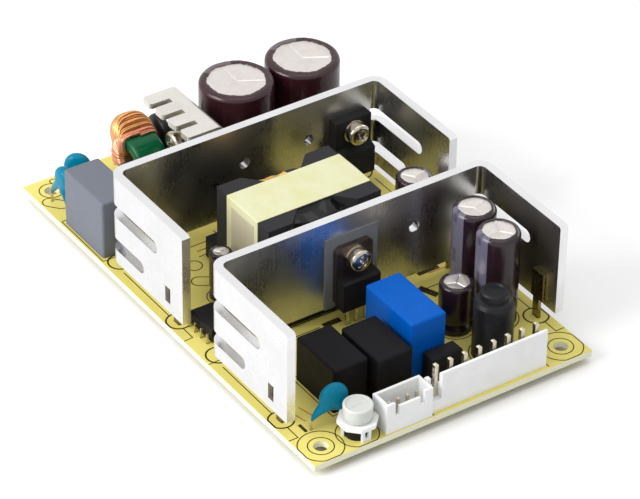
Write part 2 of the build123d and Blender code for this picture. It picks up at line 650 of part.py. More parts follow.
def ceramic_disc(place):
    """Dipped disc on edge, its coating drawn down over the top of both leads."""
    x, y, z, radius, thickness, turn, pitch, lean = place
    along = (cos(radians(turn)), sin(radians(turn)))
    drop = z - DISC_SKIRT_END_Z
    disc = Rot(90, 0, 0) * Cylinder(radius, thickness)
    body = fillet(disc.edges().filter_by(GeomType.CIRCLE), thickness * 0.42)
    leads = []
    for side in (-1, 1):
        foot = side * pitch / 2 - lean
        skirt = Cone(DISC_SKIRT_END_RADIUS, DISC_SKIRT_RADIUS, hypot(foot, drop))
        tilt = degrees(atan2(foot, drop))
        body += Pos(foot / 2, 0, -drop / 2) * Rot(0, -tilt, 0) * skirt
        lead_x = x + side * pitch / 2 * along[0]
        lead_y = y + side * pitch / 2 * along[1]
        leads.append(round_pin(lead_x, lead_y, DISC_SKIRT_END_Z + DISC_LEAD_GRIP,
                               DISC_LEAD_RADIUS))
    lead_solids.extend(leads)
    place = Pos(x + lean * along[0], y + lean * along[1], TOP + z) * Rot(0, 0, turn)
    return place * body - leads


def waisted_plan(height):
    """Outline of the core seen from above, extruded: wide ends and a narrow waist."""
    half_long = CORE_LENGTH / 2
    half_wide = CORE_WIDTH / 2
    half_waist = CORE_WAIST_WIDTH / 2
    inner = CORE_WAIST_LENGTH / 2
    shoulder = CORE_SHOULDER_LENGTH / 2
    quarter = [(half_wide, half_long), (half_wide, shoulder), (half_waist, inner)]
    right = quarter + [(px, -py) for px, py in reversed(quarter)]
    left = [(-px, py) for px, py in reversed(right)]
    return extrude(make_face(Polyline(*right, *left, close=True)), height)


def transformer():
    """Two core halves, bobbin, winding, outer tape and pins."""
    window = CORE_HEIGHT - 2 * CORE_PLATE
    middle_z = CORE_HEIGHT / 2
    place = Pos(CORE_X, CORE_Y, TOP + CORE_BOTTOM_Z)
    ring = Pos(0, 0, middle_z) * (
        Cylinder(CORE_WINDOW_RADIUS, window) - Cylinder(CORE_POST_RADIUS, window))
    lower = waisted_plan(middle_z) - ring
    upper = Pos(0, 0, middle_z) * waisted_plan(middle_z) - ring
    nodes["transformer_core"] = place * group([lower, upper])

    tube_inner = CORE_POST_RADIUS + BOBBIN_CLEARANCE
    tube_outer = tube_inner + BOBBIN_WALL
    flange_radius = CORE_WINDOW_RADIUS - BOBBIN_CLEARANCE
    bobbin_height = window - 2 * BOBBIN_CLEARANCE
    bottom = CORE_PLATE + BOBBIN_CLEARANCE
    top = bottom + bobbin_height
    bobbin = revolved([
        (tube_inner, bottom), (flange_radius, bottom), (flange_radius, bottom + BOBBIN_WALL),
        (tube_outer, bottom + BOBBIN_WALL), (tube_outer, top - BOBBIN_WALL),
        (flange_radius, top - BOBBIN_WALL), (flange_radius, top), (tube_inner, top),
    ])
    rail_low = RAIL_BOTTOM_Z - CORE_BOTTOM_Z
    rail_high = RAIL_TOP_Z - CORE_BOTTOM_Z
    rail_inner = RAIL_OUTER - RAIL_WIDTH
    neck_inner = CORE_WAIST_WIDTH / 2 + BOBBIN_CLEARANCE
    rail_middle = (RAIL_OUTER + rail_inner) / 2
    neck_outer = rail_inner + 0.5
    for side in (-1, 1):
        rail = Pos(side * rail_middle, 0, (rail_low + rail_high) / 2) * Box(
            RAIL_WIDTH, RAIL_LENGTH, rail_high - rail_low)
        rail = fillet(rail.edges().filter_by(Axis.Z), 0.8)
        neck_high = bottom + BOBBIN_WALL
        neck = Pos(side * (neck_inner + neck_outer) / 2, 0, (rail_low + neck_high) / 2) * Box(
            neck_outer - neck_inner, RAIL_NECK_LENGTH, neck_high - rail_low)
        bobbin += rail + neck
        for index in range(TRANSFORMER_PINS_A_SIDE):
            shift = index - (TRANSFORMER_PINS_A_SIDE - 1) / 2
            lead_solids.append(round_pin(CORE_X + side * rail_middle,
                                         CORE_Y + shift * TRANSFORMER_PIN_PITCH,
                                         RAIL_BOTTOM_Z, TRANSFORMER_PIN_RADIUS))
    nodes["transformer_bobbin"] = place * bobbin

    winding_radius = flange_radius - WINDING_INSET
    winding_height = bobbin_height - 2 * BOBBIN_WALL
    winding = Cylinder(winding_radius, winding_height) - Cylinder(tube_outer, winding_height)
    nodes["transformer_winding"] = place * Pos(0, 0, middle_z) * winding

    wrap = TAPE_THICKNESS
    tape = Box(TAPE_WIDTH, CORE_LENGTH + 2 * wrap, CORE_HEIGHT + 2 * wrap)
    tape -= Box(TAPE_WIDTH + 1, CORE_LENGTH, CORE_HEIGHT)
    nodes["transformer_tape"] = place * Pos(0, 0, middle_z) * tape


def across(radius, length, sweep=360.0, start=0.0):
    """Cylinder, or a sector of one, whose axis lies along Y."""
    on_axis = (Align.NONE, Align.NONE, Align.CENTER)
    cylinder = Cylinder(radius, length, arc_size=sweep, align=on_axis)
    return Rot(90, 0, 0) * Rot(0, 0, start) * cylinder


def choke_winding(start, sweep, turns, build_up):
    """Sector of turns round the ring's section, each turn a ridge on the bundle."""
    inner = CHOKE_INNER_RADIUS - CHOKE_WIRE_GAP - CHOKE_WIRE
    outer = CHOKE_OUTER_RADIUS + CHOKE_WIRE_GAP + build_up
    half = CHOKE_THICKNESS / 2 + CHOKE_WIRE_GAP + CHOKE_WIRE
    ridge = CHOKE_WIRE * 0.3
    bundle = across(outer - ridge, 2 * (half - ridge), sweep, start)
    step = sweep / turns
    for index in range(turns):
        middle = start + (index + 0.5) * step
        plate = Box(outer, 2 * half, outer * radians(step) * 0.6)
        plate = chamfer(plate.edges().filter_by(Axis.Z).group_by(Axis.X)[-1], CHOKE_WIRE * 0.6)
        bundle += Rot(0, -middle, 0) * Pos(outer / 2, 0, 0) * plate
    room = CHOKE_THICKNESS + 2 * CHOKE_WIRE_GAP
    bore = across(CHOKE_OUTER_RADIUS + CHOKE_WIRE_GAP, room)
    bore -= across(CHOKE_INNER_RADIUS - CHOKE_WIRE_GAP, room)
    bundle = bundle & across(2 * outer, 2 * half, sweep, start)
    return bundle - bore - across(inner, 3 * half)


def common_mode_choke():
    """Coated ring, its two windings and the moulded foot that it stands on."""
    place = Pos(CHOKE_X, CHOKE_Y, TOP + CHOKE_Z)
    ring = across(CHOKE_OUTER_RADIUS, CHOKE_THICKNESS) - across(CHOKE_INNER_RADIUS, CHOKE_THICKNESS)
    ring = fillet(ring.edges().filter_by(GeomType.CIRCLE), CHOKE_EDGE_RADIUS)
    nodes["choke_core"] = place * ring
    for number, winding in enumerate(CHOKE_WINDINGS, 1):
        nodes[f"choke_winding_{number}"] = place * choke_winding(*winding)

    half_long = CHOKE_BASE_LENGTH / 2
    half_wide = CHOKE_BASE_WIDTH / 2
    half_rest = CHOKE_REST_LENGTH / 2
    foot = block(CHOKE_X - half_long, CHOKE_X + half_long, CHOKE_Y - half_wide,
                 CHOKE_Y + half_wide, 0, CHOKE_BASE_HEIGHT)
    foot += block(CHOKE_X - half_rest, CHOKE_X + half_rest, CHOKE_Y - CHOKE_THICKNESS / 2,
                  CHOKE_Y + CHOKE_THICKNESS / 2, 0, CHOKE_REST_HEIGHT)
    hollow = across(CHOKE_OUTER_RADIUS + CHOKE_REST_CLEARANCE, 2 * CHOKE_BASE_WIDTH)
    nodes["choke_base"] = foot - place * hollow
    for side_x in (-1, 1):
        for side_y in (-1, 1):
            round_joint(CHOKE_X + side_x * (half_long - CHOKE_PIN_INSET),
                        CHOKE_Y + side_y * (half_wide - CHOKE_PIN_INSET), LEAD_TIP_RADIUS)


def control_ic():
    """Eight-lead control chip with a notch at one end, and its bent leads."""
    x, y, length, width = CONTROL_IC
    body = block(x - length / 2, x + length / 2, y - width / 2, y + width / 2,
                 CONTROL_IC_LIFT, CONTROL_IC_TOP)
    body = chamfer(body.edges().group_by(Axis.Z)[-1], 0.4)
    body -= post(x - length / 2, y, CONTROL_IC_TOP - 0.4, CONTROL_IC_TOP + 1, 0.9)
    nodes["control_ic"] = body
    lead = CONTROL_IC_LEAD
    shoulder = (CONTROL_IC_LIFT + CONTROL_IC_TOP) / 2
    for side in (-1, 1):
        lead_y = y + side * CONTROL_IC_ROW_SPACING / 2
        body_y = y + side * width / 2
        low, high = sorted((body_y, lead_y + side * lead / 2))
        for index in range(4):
            lead_x = x + (index - 1.5) * CONTROL_IC_PITCH
            arm = block(lead_x - lead / 2, lead_x + lead / 2, low, high, shoulder - lead / 2,
                        shoulder + lead / 2)
            lead_solids.append(arm + square_pin(lead_x, lead_y, shoulder, lead / 2, lead / 2))


def regulator():
    """Small moulded module behind the output pins."""
    x, y, length, width, height = REGULATOR
    body = block(x - length / 2, x + length / 2, y - width / 2, y + width / 2, 0, height)
    for side in (-1, 1):
        round_joint(x, y + side * width * 0.3, LEAD_TIP_RADIUS)
    nodes["regulator_module"] = chamfer(body.edges().group_by(Axis.Z)[-1], 0.5)


def output_choke():
    """Drum choke in a shrunk sleeve, its flange showing above the shoulder."""
    radius = OUTPUT_CHOKE_RADIUS
    neck = OUTPUT_CHOKE_NECK
    shoulder = OUTPUT_CHOKE_SHOULDER
    top = OUTPUT_CHOKE_HEIGHT
    body = revolved([
        (0, 0), (radius, 0), (radius, shoulder - 0.9), (radius - 0.5, shoulder), (neck, shoulder + 0.3),
        (neck, top - 0.4), (neck - 0.4, top), (neck - 0.9, top), (neck - 1.1, top - 0.3),
        (0, top - 0.3),
    ])
    nodes["output_choke"] = Pos(OUTPUT_CHOKE_X, OUTPUT_CHOKE_Y, TOP) * body
    for side in (-1, 1):
        round_joint(OUTPUT_CHOKE_X, OUTPUT_CHOKE_Y + side * 2.5, LEAD_TIP_RADIUS)


def fuse():
    """Ceramic tube with a metal cap at each end and leads bent down to the board."""
    z = FUSE_LIFT + FUSE_RADIUS
    place = Pos(FUSE_X, FUSE_Y, TOP + z) * Rot(90, 0, 0)
    half = FUSE_LENGTH / 2
    tube_radius = FUSE_RADIUS - FUSE_CAP_WALL
    nodes["fuse_tube"] = place * Cylinder(tube_radius, FUSE_LENGTH - 2 * FUSE_CAP_WALL)
    caps = []
    for side in (-1, 1):
        cap = Pos(0, 0, side * (half - FUSE_CAP_LENGTH / 2)) * Cylinder(FUSE_RADIUS, FUSE_CAP_LENGTH)
        cap -= Cylinder(tube_radius, FUSE_LENGTH - 2 * FUSE_CAP_WALL)
        caps.append(place * cap)
        lead_y = FUSE_Y + side * (half + FUSE_LEAD_REACH)
        inner_y = FUSE_Y + side * half
        arm_length = abs(lead_y - inner_y)
        arm = Pos(FUSE_X, (lead_y + inner_y) / 2, TOP + z) * Rot(90, 0, 0) * Cylinder(
            FUSE_LEAD_RADIUS, arm_length)
        knee = Pos(FUSE_X, lead_y, TOP + z) * Sphere(FUSE_LEAD_RADIUS)
        lead_solids.append(arm + knee + round_pin(FUSE_X, lead_y, z, FUSE_LEAD_RADIUS))
    nodes["fuse_caps"] = group(caps)


def power_header(name, x, y, count, turn):
    """Row of square pins in a base with a locking wall on its outer side."""
    facing = cos(radians(turn))
    last = (count - 1) * PIN_PITCH
    wall_inner = HEADER_FRONT - HEADER_WALL
    base = block(-HEADER_BACK, HEADER_FRONT, -HEADER_END, last + HEADER_END, 0, HEADER_BASE_Z)
    wall = block(wall_inner, HEADER_FRONT, HEADER_WALL_START, last + HEADER_END,
                 0, HEADER_WALL_TOP)
    wall = chamfer(wall.edges().filter_by(Axis.Y).group_by(Axis.Z)[-1].sort_by(Axis.X)[0], 0.5)
    post_end = -HEADER_END - HEADER_POST_PROUD
    end_post = block(-HEADER_WALL, 0, post_end, post_end + HEADER_POST_THICKNESS, 0,
                     HEADER_POST_TOP)
    housing = base + wall + end_post
    pins = []
    half = PIN_SIZE / 2
    for index in range(count):
        pin_y = index * PIN_PITCH
        gap = half + HEADER_CLEARANCE
        housing -= block(-gap, gap, pin_y - gap, pin_y + gap, -TINY, HEADER_BASE_Z + TINY)
        pin = square_pin(x, y + facing * pin_y, PIN_TOP_Z, half, half)
        pins.append(chamfer(pin.edges().group_by(Axis.Z)[-1], PIN_POINT))
    nodes[name + "_housing"] = Pos(x, y, 0) * Rot(0, 0, turn) * housing
    nodes[name + "_pins"] = group(pins)


def control_header():
    """Shrouded header: low front wall between two slots, high rear wall, four pins."""
    x0, x1 = SHROUD_X - SHROUD_DEPTH / 2, SHROUD_X + SHROUD_DEPTH / 2
    y0, y1 = SHROUD_Y - SHROUD_LENGTH / 2, SHROUD_Y + SHROUD_LENGTH / 2
    wall = SHROUD_WALL
    housing = block(x0, x1, y0, y1, 0, SHROUD_HEIGHT)
    housing -= block(x0 + wall, x1 - wall, y0 + wall, y1 - wall, SHROUD_FLOOR, SHROUD_HEIGHT + 1)
    half_slots = SHROUD_SLOT_SPACING / 2
    half_slot = SHROUD_SLOT_WIDTH / 2
    low_top = SHROUD_HEIGHT - SHROUD_LOW_WALL
    housing -= block(x1 - wall - TINY, x1 + TINY, SHROUD_Y - half_slots, SHROUD_Y + half_slots,
                     low_top, SHROUD_HEIGHT + 1)
    for side in (-1, 1):
        middle = SHROUD_Y + side * half_slots
        housing -= block(x1 - wall - TINY, x1 + TINY, middle - half_slot, middle + half_slot,
                         SHROUD_HEIGHT - SHROUD_SLOT_DEPTH, SHROUD_HEIGHT + 1)
    pins = []
    half = CONTROL_PIN_SIZE / 2
    gap = half + HEADER_CLEARANCE
    for index in range(CONTROL_PINS):
        pin_y = SHROUD_Y + (index - (CONTROL_PINS - 1) / 2) * CONTROL_PIN_PITCH
        housing -= block(SHROUD_X - gap, SHROUD_X + gap, pin_y - gap, pin_y + gap,
                         -TINY, SHROUD_FLOOR + TINY)
        pins.append(square_pin(SHROUD_X, pin_y, CONTROL_PIN_TOP, half, half))
    nodes["control_header_housing"] = housing
    nodes["control_header_pins"] = group(pins)


def trimmer():
    """Adjusting potentiometer: dark base, white frame on three legs, and the knob."""
    x, y = TRIMMER_X, TRIMMER_Y
    frame_low = TRIMMER_BASE_HEIGHT
    frame_high = frame_low + FRAME_THICKNESS
    knob_low = frame_high + KNOB_RUNNING_GAP
    knob_high = knob_low + KNOB_HEIGHT
    spindle_low = frame_low + KNOB_RUNNING_GAP

    nodes["trimmer_base"] = post(x, y, 0, frame_low, TRIMMER_BASE_RADIUS)
    plate = extrude(RegularPolygon(FRAME_ACROSS / 2, 8, major_radius=False, rotation=22.5),
                    FRAME_THICKNESS)
    frame = Pos(x, y, TOP + frame_low) * plate
    frame -= post(x, y, frame_low - TINY, frame_high + TINY, KNOB_SPINDLE_RADIUS + KNOB_RUNNING_GAP)
    leg_out = TRIMMER_BASE_RADIUS + FRAME_LEG_GAP
    reach = leg_out + FRAME_LEG_THICKNESS / 2
    leg = block(leg_out, leg_out + FRAME_LEG_THICKNESS, -FRAME_LEG_WIDTH / 2,
                FRAME_LEG_WIDTH / 2, 0, frame_low + TINY)
    slot_middle = TOP + frame_low * 0.55
    leg -= Pos(reach, 0, slot_middle) * Rot(0, 90, 0) * extrude(
        SlotOverall(FRAME_LEG_SLOT_HEIGHT, FRAME_LEG_SLOT_WIDTH), FRAME_LEG_THICKNESS, both=True)
    for angle in FRAME_LEG_ANGLES:
        frame += Pos(x, y, 0) * Rot(0, 0, angle) * leg
        round_joint(x + reach * cos(radians(angle)), y + reach * sin(radians(angle)),
                    LEAD_TIP_RADIUS, EDGE_JOINT_HEIGHT)
    nodes["trimmer_frame"] = frame

    knob = post(x, y, knob_low, knob_high, KNOB_RADIUS)
    knob = fillet(knob.edges().group_by(Axis.Z)[-1], KNOB_EDGE_RADIUS)
    knob += post(x, y, spindle_low, knob_low + TINY, KNOB_SPINDLE_RADIUS)
    half_slot = KNOB_SLOT_WIDTH / 2
    half_long = KNOB_SLOT_LENGTH / 2
    knob -= block(x - half_slot, x + half_slot, y - half_long, y + half_long,
                  knob_high - KNOB_SLOT_DEPTH, knob_high + TINY)
    nodes["trimmer_knob"] = knob


def board():
    """Board with its mounting holes and every drilled lead hole."""
    plate = block(-HALF_LENGTH, HALF_LENGTH, -HALF_WIDTH, HALF_WIDTH, -BOARD_THICKNESS, 0)
    cutters = list(board_cutters)
    for side_x in (-1, 1):
        for side_y in (-1, 1):
            cutters.append(post(side_x * (HALF_LENGTH - MOUNT_HOLE_INSET),
                                side_y * (HALF_WIDTH - MOUNT_HOLE_INSET),
                                -BOARD_THICKNESS - TINY, TINY, MOUNT_HOLE_RADIUS))
    return plate - cutters


def solder(points):
    """Cone of solder round each trimmed lead end, under the board."""
    cones = []
    for x, y, radius, height in points:
        cone = Cone(min(radius, LEAD_TIP_RADIUS), radius + SOLDER_SPREAD, height)
        cones.append(Pos(x, y, BOARD_BOTTOM - height / 2) * cone)
    return group(cones)


nodes["primary_heatsink"] = heatsink(PRIMARY_SINK_X, PRIMARY_SPARE_HOLES_Y,
                                     TRANSISTOR_Y, TRANSISTOR_HOLE_Z)
nodes["secondary_heatsink"] = heatsink(SECONDARY_SINK_X, SECONDARY_SPARE_HOLES_Y,
                                       DIODE_Y, DIODE_HOLE_Z)
nodes["heatsink_clips"] = heatsink_clips()
nodes["finned_bracket"] = finned_bracket()
semiconductors()
electrolytic("bulk_capacitor_1", BULK_X, BULK_1_Y, BULK_DIAMETER, BULK_HEIGHT, 7.5)
electrolytic("bulk_capacitor_2", BULK_X, BULK_2_Y, BULK_DIAMETER, BULK_HEIGHT, 7.5)
electrolytic("output_capacitor_1", OUTPUT_1_X, OUTPUT_1_Y, OUTPUT_DIAMETER, OUTPUT_HEIGHT, 5.0)
electrolytic("output_capacitor_2", OUTPUT_2_X, OUTPUT_2_Y, OUTPUT_DIAMETER, OUTPUT_HEIGHT, 5.0)
electrolytic("output_capacitor_3", OUTPUT_3_X, OUTPUT_3_Y, OUTPUT_3_DIAMETER, OUTPUT_3_HEIGHT, 3.5)
electrolytic("bias_capacitor", BIAS_X, BIAS_Y, BIAS_DIAMETER, BIAS_HEIGHT, 2.5)
electrolytic("snubber_capacitor", SNUBBER_X, SNUBBER_Y, SNUBBER_DIAMETER, SNUBBER_HEIGHT, 5.0)
transformer()
common_mode_choke()
nodes["x_capacitor"] = box_capacitor(X_CAPACITOR)
nodes["blue_film_capacitor"] = box_capacitor(BLUE_CAPACITOR)
nodes["black_film_capacitor_1"] = box_capacitor(BLACK_CAPACITOR_1)
nodes["black_film_capacitor_2"] = box_capacitor(BLACK_CAPACITOR_2)
nodes["y_capacitor_1"] = ceramic_disc(Y_CAPACITOR_1)
nodes["y_capacitor_2"] = ceramic_disc(Y_CAPACITOR_2)
nodes["disc_capacitor"] = ceramic_disc(TRIM_DISC)
nodes["thermistor"] = ceramic_disc(THERMISTOR)
control_ic()
regulator()
output_choke()
fuse()
power_header("output_header", OUTPUT_PIN_X, OUTPUT_PIN_Y, OUTPUT_PINS, 0)
power_header("input_header", INPUT_PIN_X, INPUT_PIN_Y, INPUT_PINS, 180)
control_header()
trimmer()
nodes["component_leads"] = group(lead_solids)
nodes["circuit_board"] = board()
nodes["solder_joints"] = solder(joint_points)
nodes["clip_joints"] = solder(clip_joint_points)

os.makedirs("parts", exist_ok=True)
for node_name, shape in nodes.items():
    export_step(shape, f"parts/{node_name}.step")
print(len(nodes), "nodes")
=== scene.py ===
import json
import logging
from collections.abc import Sequence
from dataclasses import dataclass
from enum import Enum
from math import atan2, cos, pi, radians, sin
from typing import Any

import bmesh
import bpy
import numpy as np
from mathutils import Matrix, Vector
from numpy.typing import NDArray


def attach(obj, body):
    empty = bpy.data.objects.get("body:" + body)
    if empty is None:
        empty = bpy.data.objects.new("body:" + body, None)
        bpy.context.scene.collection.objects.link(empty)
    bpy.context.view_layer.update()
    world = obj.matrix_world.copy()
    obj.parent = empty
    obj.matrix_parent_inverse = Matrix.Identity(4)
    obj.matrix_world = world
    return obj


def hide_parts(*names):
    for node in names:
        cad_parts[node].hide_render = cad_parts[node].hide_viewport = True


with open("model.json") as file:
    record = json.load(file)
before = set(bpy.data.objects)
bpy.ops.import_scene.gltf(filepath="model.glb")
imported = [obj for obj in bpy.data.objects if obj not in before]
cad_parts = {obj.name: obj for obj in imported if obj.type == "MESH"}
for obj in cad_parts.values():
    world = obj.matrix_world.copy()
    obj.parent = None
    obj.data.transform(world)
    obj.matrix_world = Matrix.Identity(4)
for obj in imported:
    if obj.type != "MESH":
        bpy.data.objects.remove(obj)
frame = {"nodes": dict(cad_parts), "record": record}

# Lengths are in millimetres in the row frame until a mesh is made from them.

LOG = logging.getLogger("power_supply")

MM = 0.001
BOARD_TOP = 3.6
BOARD_BOTTOM = 2.0
HALF_LENGTH = 63.5
HALF_WIDTH = 38.1
HOLE_X = 58.42
HOLE_Y = 33.02

Array = NDArray[np.float64]
Colour = tuple[float, float, float]
Socket = bpy.types.NodeSocket

# Range in which most of a noise value lies, and the colour of dust.
NOISE = (0.3, 0.7)
DUST: Colour = (0.36, 0.35, 0.33)


class Body(Enum):
    """Rigid bodies of the record."""

    BOARD = "board_assembly"
    KNOB = "adjusting_knob"


class Ray(Enum):
    """Kinds of rays, as the Light Path node names them."""

    CAMERA = "Is Camera Ray"
    GLOSSY = "Is Glossy Ray"
    TRANSMISSION = "Is Transmission Ray"


def srgb(red: int, green: int, blue: int) -> Colour:
    """Linear colour from three display values.

    Args:
        red: Red from 0 to 255.
        green: Green from 0 to 255.
        blue: Blue from 0 to 255.

    Returns:
        The same colour in linear light.
    """
    values = np.array((red, green, blue)) / 255.0
    linear = np.where(values <= 0.04045, values / 12.92, ((values + 0.055) / 1.055) ** 2.4)
    return tuple(float(value) for value in linear)


class Graph:
    """Node tree of one material, with short calls for the nodes that the finishes share."""

    def __init__(self, name: str) -> None:
        """Starts a material with a plain shader and Object coordinates.

        Args:
            name: Name of the material.
        """
        self.material = bpy.data.materials.new(name)
        self.material.use_nodes = True
        self.tree = self.material.node_tree
        self.shader = self.tree.nodes["Principled BSDF"]
        coordinates = self.tree.nodes.new("ShaderNodeTexCoord")
        self.place = coordinates.outputs["Object"]
        self.uv = coordinates.outputs["UV"]

    def join(self, source: Socket | float | Colour, target: Socket) -> None:
        """Links a socket to another, or writes a constant on it."""
        if isinstance(source, bpy.types.NodeSocket):
            self.tree.links.new(source, target)
        elif isinstance(source, tuple) and target.type == "RGBA":
            target.default_value = (*source, 1.0)
        else:
            target.default_value = source

    def maths(self, operation: str, first: Socket | float, second: Socket | float = 0.0) -> Socket:
        """One step of arithmetic.

        Args:
            operation: Blender's name of the operation.
            first: First operand.
            second: Second operand, where the operation has one.

        Returns:
            The result.
        """
        node = self.tree.nodes.new("ShaderNodeMath")
        node.operation = operation
        self.join(first, node.inputs[0])
        self.join(second, node.inputs[1])
        return node.outputs[0]

    def stretched(self, factors: tuple[float, float, float]) -> Socket:
        """Object coordinates multiplied axis by axis.

        Args:
            factors: Factor of each axis.

        Returns:
            The stretched coordinates.
        """
        node = self.tree.nodes.new("ShaderNodeMapping")
        self.join(self.place, node.inputs["Vector"])
        node.inputs["Scale"].default_value = factors
        return node.outputs[0]

    def noise(self, scale: float, detail: float = 3.0, where: Socket | None = None) -> Socket:
        """Soft noise between about 0.25 and 0.75.

        Args:
            scale: Waves a metre, or a unit of the coordinates given.
            detail: Octaves.
            where: Coordinates, Object ones unless given.

        Returns:
            The noise value.
        """
        node = self.tree.nodes.new("ShaderNodeTexNoise")
        self.join(where or self.place, node.inputs["Vector"])
        node.inputs["Scale"].default_value = scale
        node.inputs["Detail"].default_value = detail
        return node.outputs[0]

    def cells(self, scale: float) -> Socket:
        """Distance to the nearest of many scattered points.

        Args:
            scale: Points a metre along one axis.

        Returns:
            The distance in cell widths.
        """
        node = self.tree.nodes.new("ShaderNodeTexVoronoi")
        self.join(self.place, node.inputs["Vector"])
        node.inputs["Scale"].default_value = scale
        return node.outputs["Distance"]

    def spread(self, value: Socket, low: float, high: float,
               to_low: float, to_high: float) -> Socket:
        """Value carried from one range to another and kept inside it.

        Args:
            value: Value to carry.
            low: Start of the range it comes from.
            high: End of the range it comes from.
            to_low: Result at low.
            to_high: Result at high.

        Returns:
            The carried value.
        """
        node = self.tree.nodes.new("ShaderNodeMapRange")
        self.join(value, node.inputs["Value"])
        for name, number in zip(("From Min", "From Max", "To Min", "To Max"),
                                (low, high, to_low, to_high)):
            node.inputs[name].default_value = number
        return node.outputs["Result"]

    def mixed(self, factor: Socket, first: Socket | Colour, second: Socket | Colour) -> Socket:
        """Colour between two others.

        Args:
            factor: 0 gives the first and 1 the second.
            first: First colour.
            second: Second colour.

        Returns:
            The mixed colour.
        """
        node = self.tree.nodes.new("ShaderNodeMix")
        node.data_type = "RGBA"
        self.join(factor, node.inputs[0])
        self.join(first, node.inputs[6])
        self.join(second, node.inputs[7])
        return node.outputs[2]

    def fade(self, value: Socket, low: float, high: float, share: float,
             first: Socket | Colour, second: Socket | Colour) -> Socket:
        """Colour that goes over into a second one as a value rises.

        Args:
            value: Value that decides.
            low: Value up to which the first colour stands alone.
            high: Value from which the second has its full share.
            share: Full share of the second colour.
            first: First colour.
            second: Second colour.

        Returns:
            The mixed colour.
        """
        return self.mixed(self.spread(value, low, high, 0.0, share), first, second)

    def uneven(self, value: Socket, mean: float, low: float, high: float) -> None:
        """Lets the roughness wander with a noise between two multiples of its mean."""
        self.set("Roughness", self.spread(value, *NOISE, mean * low, mean * high))

    def axis(self, index: int, source: Socket | None = None) -> Socket:
        """One component of the coordinates: 0, 1 or 2."""
        node = self.tree.nodes.new("ShaderNodeSeparateXYZ")
        self.join(source or self.place, node.inputs[0])
        return node.outputs[index]

    def near(self, value: Socket, middle: float, half: float) -> Socket:
        """1 where a value lies within half of middle, with a thin soft edge, else 0."""
        distance = self.maths("ABSOLUTE", self.maths("SUBTRACT", value, middle))
        return self.spread(distance, half, half * 1.04 + 1e-6, 1.0, 0.0)

    def between(self, value: Socket, low: float, high: float) -> Socket:
        """1 where a value lies between two others, with an edge of 0.02 mm, else 0."""
        soft = 0.00002
        above = self.spread(value, low - soft, low, 0.0, 1.0)
        below = self.spread(value, high, high + soft, 1.0, 0.0)
        return self.maths("MULTIPLY", above, below)

    def relief(self, height: Socket, depth: float, strength: float = 1.0) -> None:
        """Bump from a height value.

        Args:
            height: Value between 0 and 1.
            depth: Metres between 0 and 1.
            strength: Share of the bump that shows.
        """
        node = self.tree.nodes.new("ShaderNodeBump")
        node.inputs["Strength"].default_value = strength
        node.inputs["Distance"].default_value = depth
        self.join(height, node.inputs["Height"])
        self.join(node.outputs["Normal"], self.shader.inputs["Normal"])

    def set(self, name: str, value: Socket | float | Colour) -> None:
        """Writes or links one input of the shader."""
        self.join(value, self.shader.inputs[name])


@dataclass(frozen=True)
class Finish:
    """One material of the part.

    Attributes:
        name: Name of the material, which is also the record's slot where it has one.
        colour: Linear base colour.
        roughness: Mean roughness.
    """

    name: str
    colour: Colour
    roughness: float

    def build(self) -> bpy.types.Material:
        """Makes the material and returns it."""
        graph = Graph(self.name)
        graph.set("Base Color", self.colour)
        graph.set("Roughness", self.roughness)
        self.dress(graph)
        return graph.material

    def dress(self, graph: Graph) -> None:
        """Adds the detail of this kind of finish to a graph."""

    def shade(self, amount: float) -> Colour:
        """Base colour times an amount."""
        return tuple(min(1.0, value * amount) for value in self.colour)


@dataclass(frozen=True)
class SheetMetal(Finish):
    """Rolled metal with fine lines along its length and a few cloudy patches.

    Attributes:
        lines: Waves a metre along X, Y and Z of the rolling lines.
        clouds: Waves a metre of the patches.
        tint: Colour of the patches.
        relief: Depth of the bump in metres.
        wavy: The bump follows the patches and not the lines, so that mirrored pieces bend a little.
    """

    lines: tuple[float, float, float] = (2200.0, 2200.0, 6.0)
    clouds: float = 90.0
    tint: Colour = (0.6, 0.6, 0.58)
    relief: float = 0.000001
    wavy: bool = False

    def dress(self, graph: Graph) -> None:
        """Adds rolling lines and patches."""
        graph.set("Metallic", 1.0)
        lines = graph.noise(1.0, 2.0, graph.stretched(self.lines))
        clouds = graph.noise(self.clouds, 5.0)
        base = self.ground(graph, graph.fade(clouds, 0.42, 0.68, 0.55, self.colour, self.tint))
        graph.set("Base Color", graph.fade(lines, 0.35, 0.7, 0.06, base, self.shade(0.6)))
        rough = graph.maths("ADD", graph.spread(clouds, *NOISE, -0.04, 0.06),
                            graph.spread(lines, *NOISE, -0.01, 0.02))
        graph.set("Roughness", graph.maths("ADD", rough, self.roughness))
        graph.relief(clouds if self.wavy else lines, self.relief, 0.3)

    def ground(self, graph: Graph, base: Socket) -> Socket:
        """Colour under the lines; a kind of sheet may paint shade into it by place."""
        return base


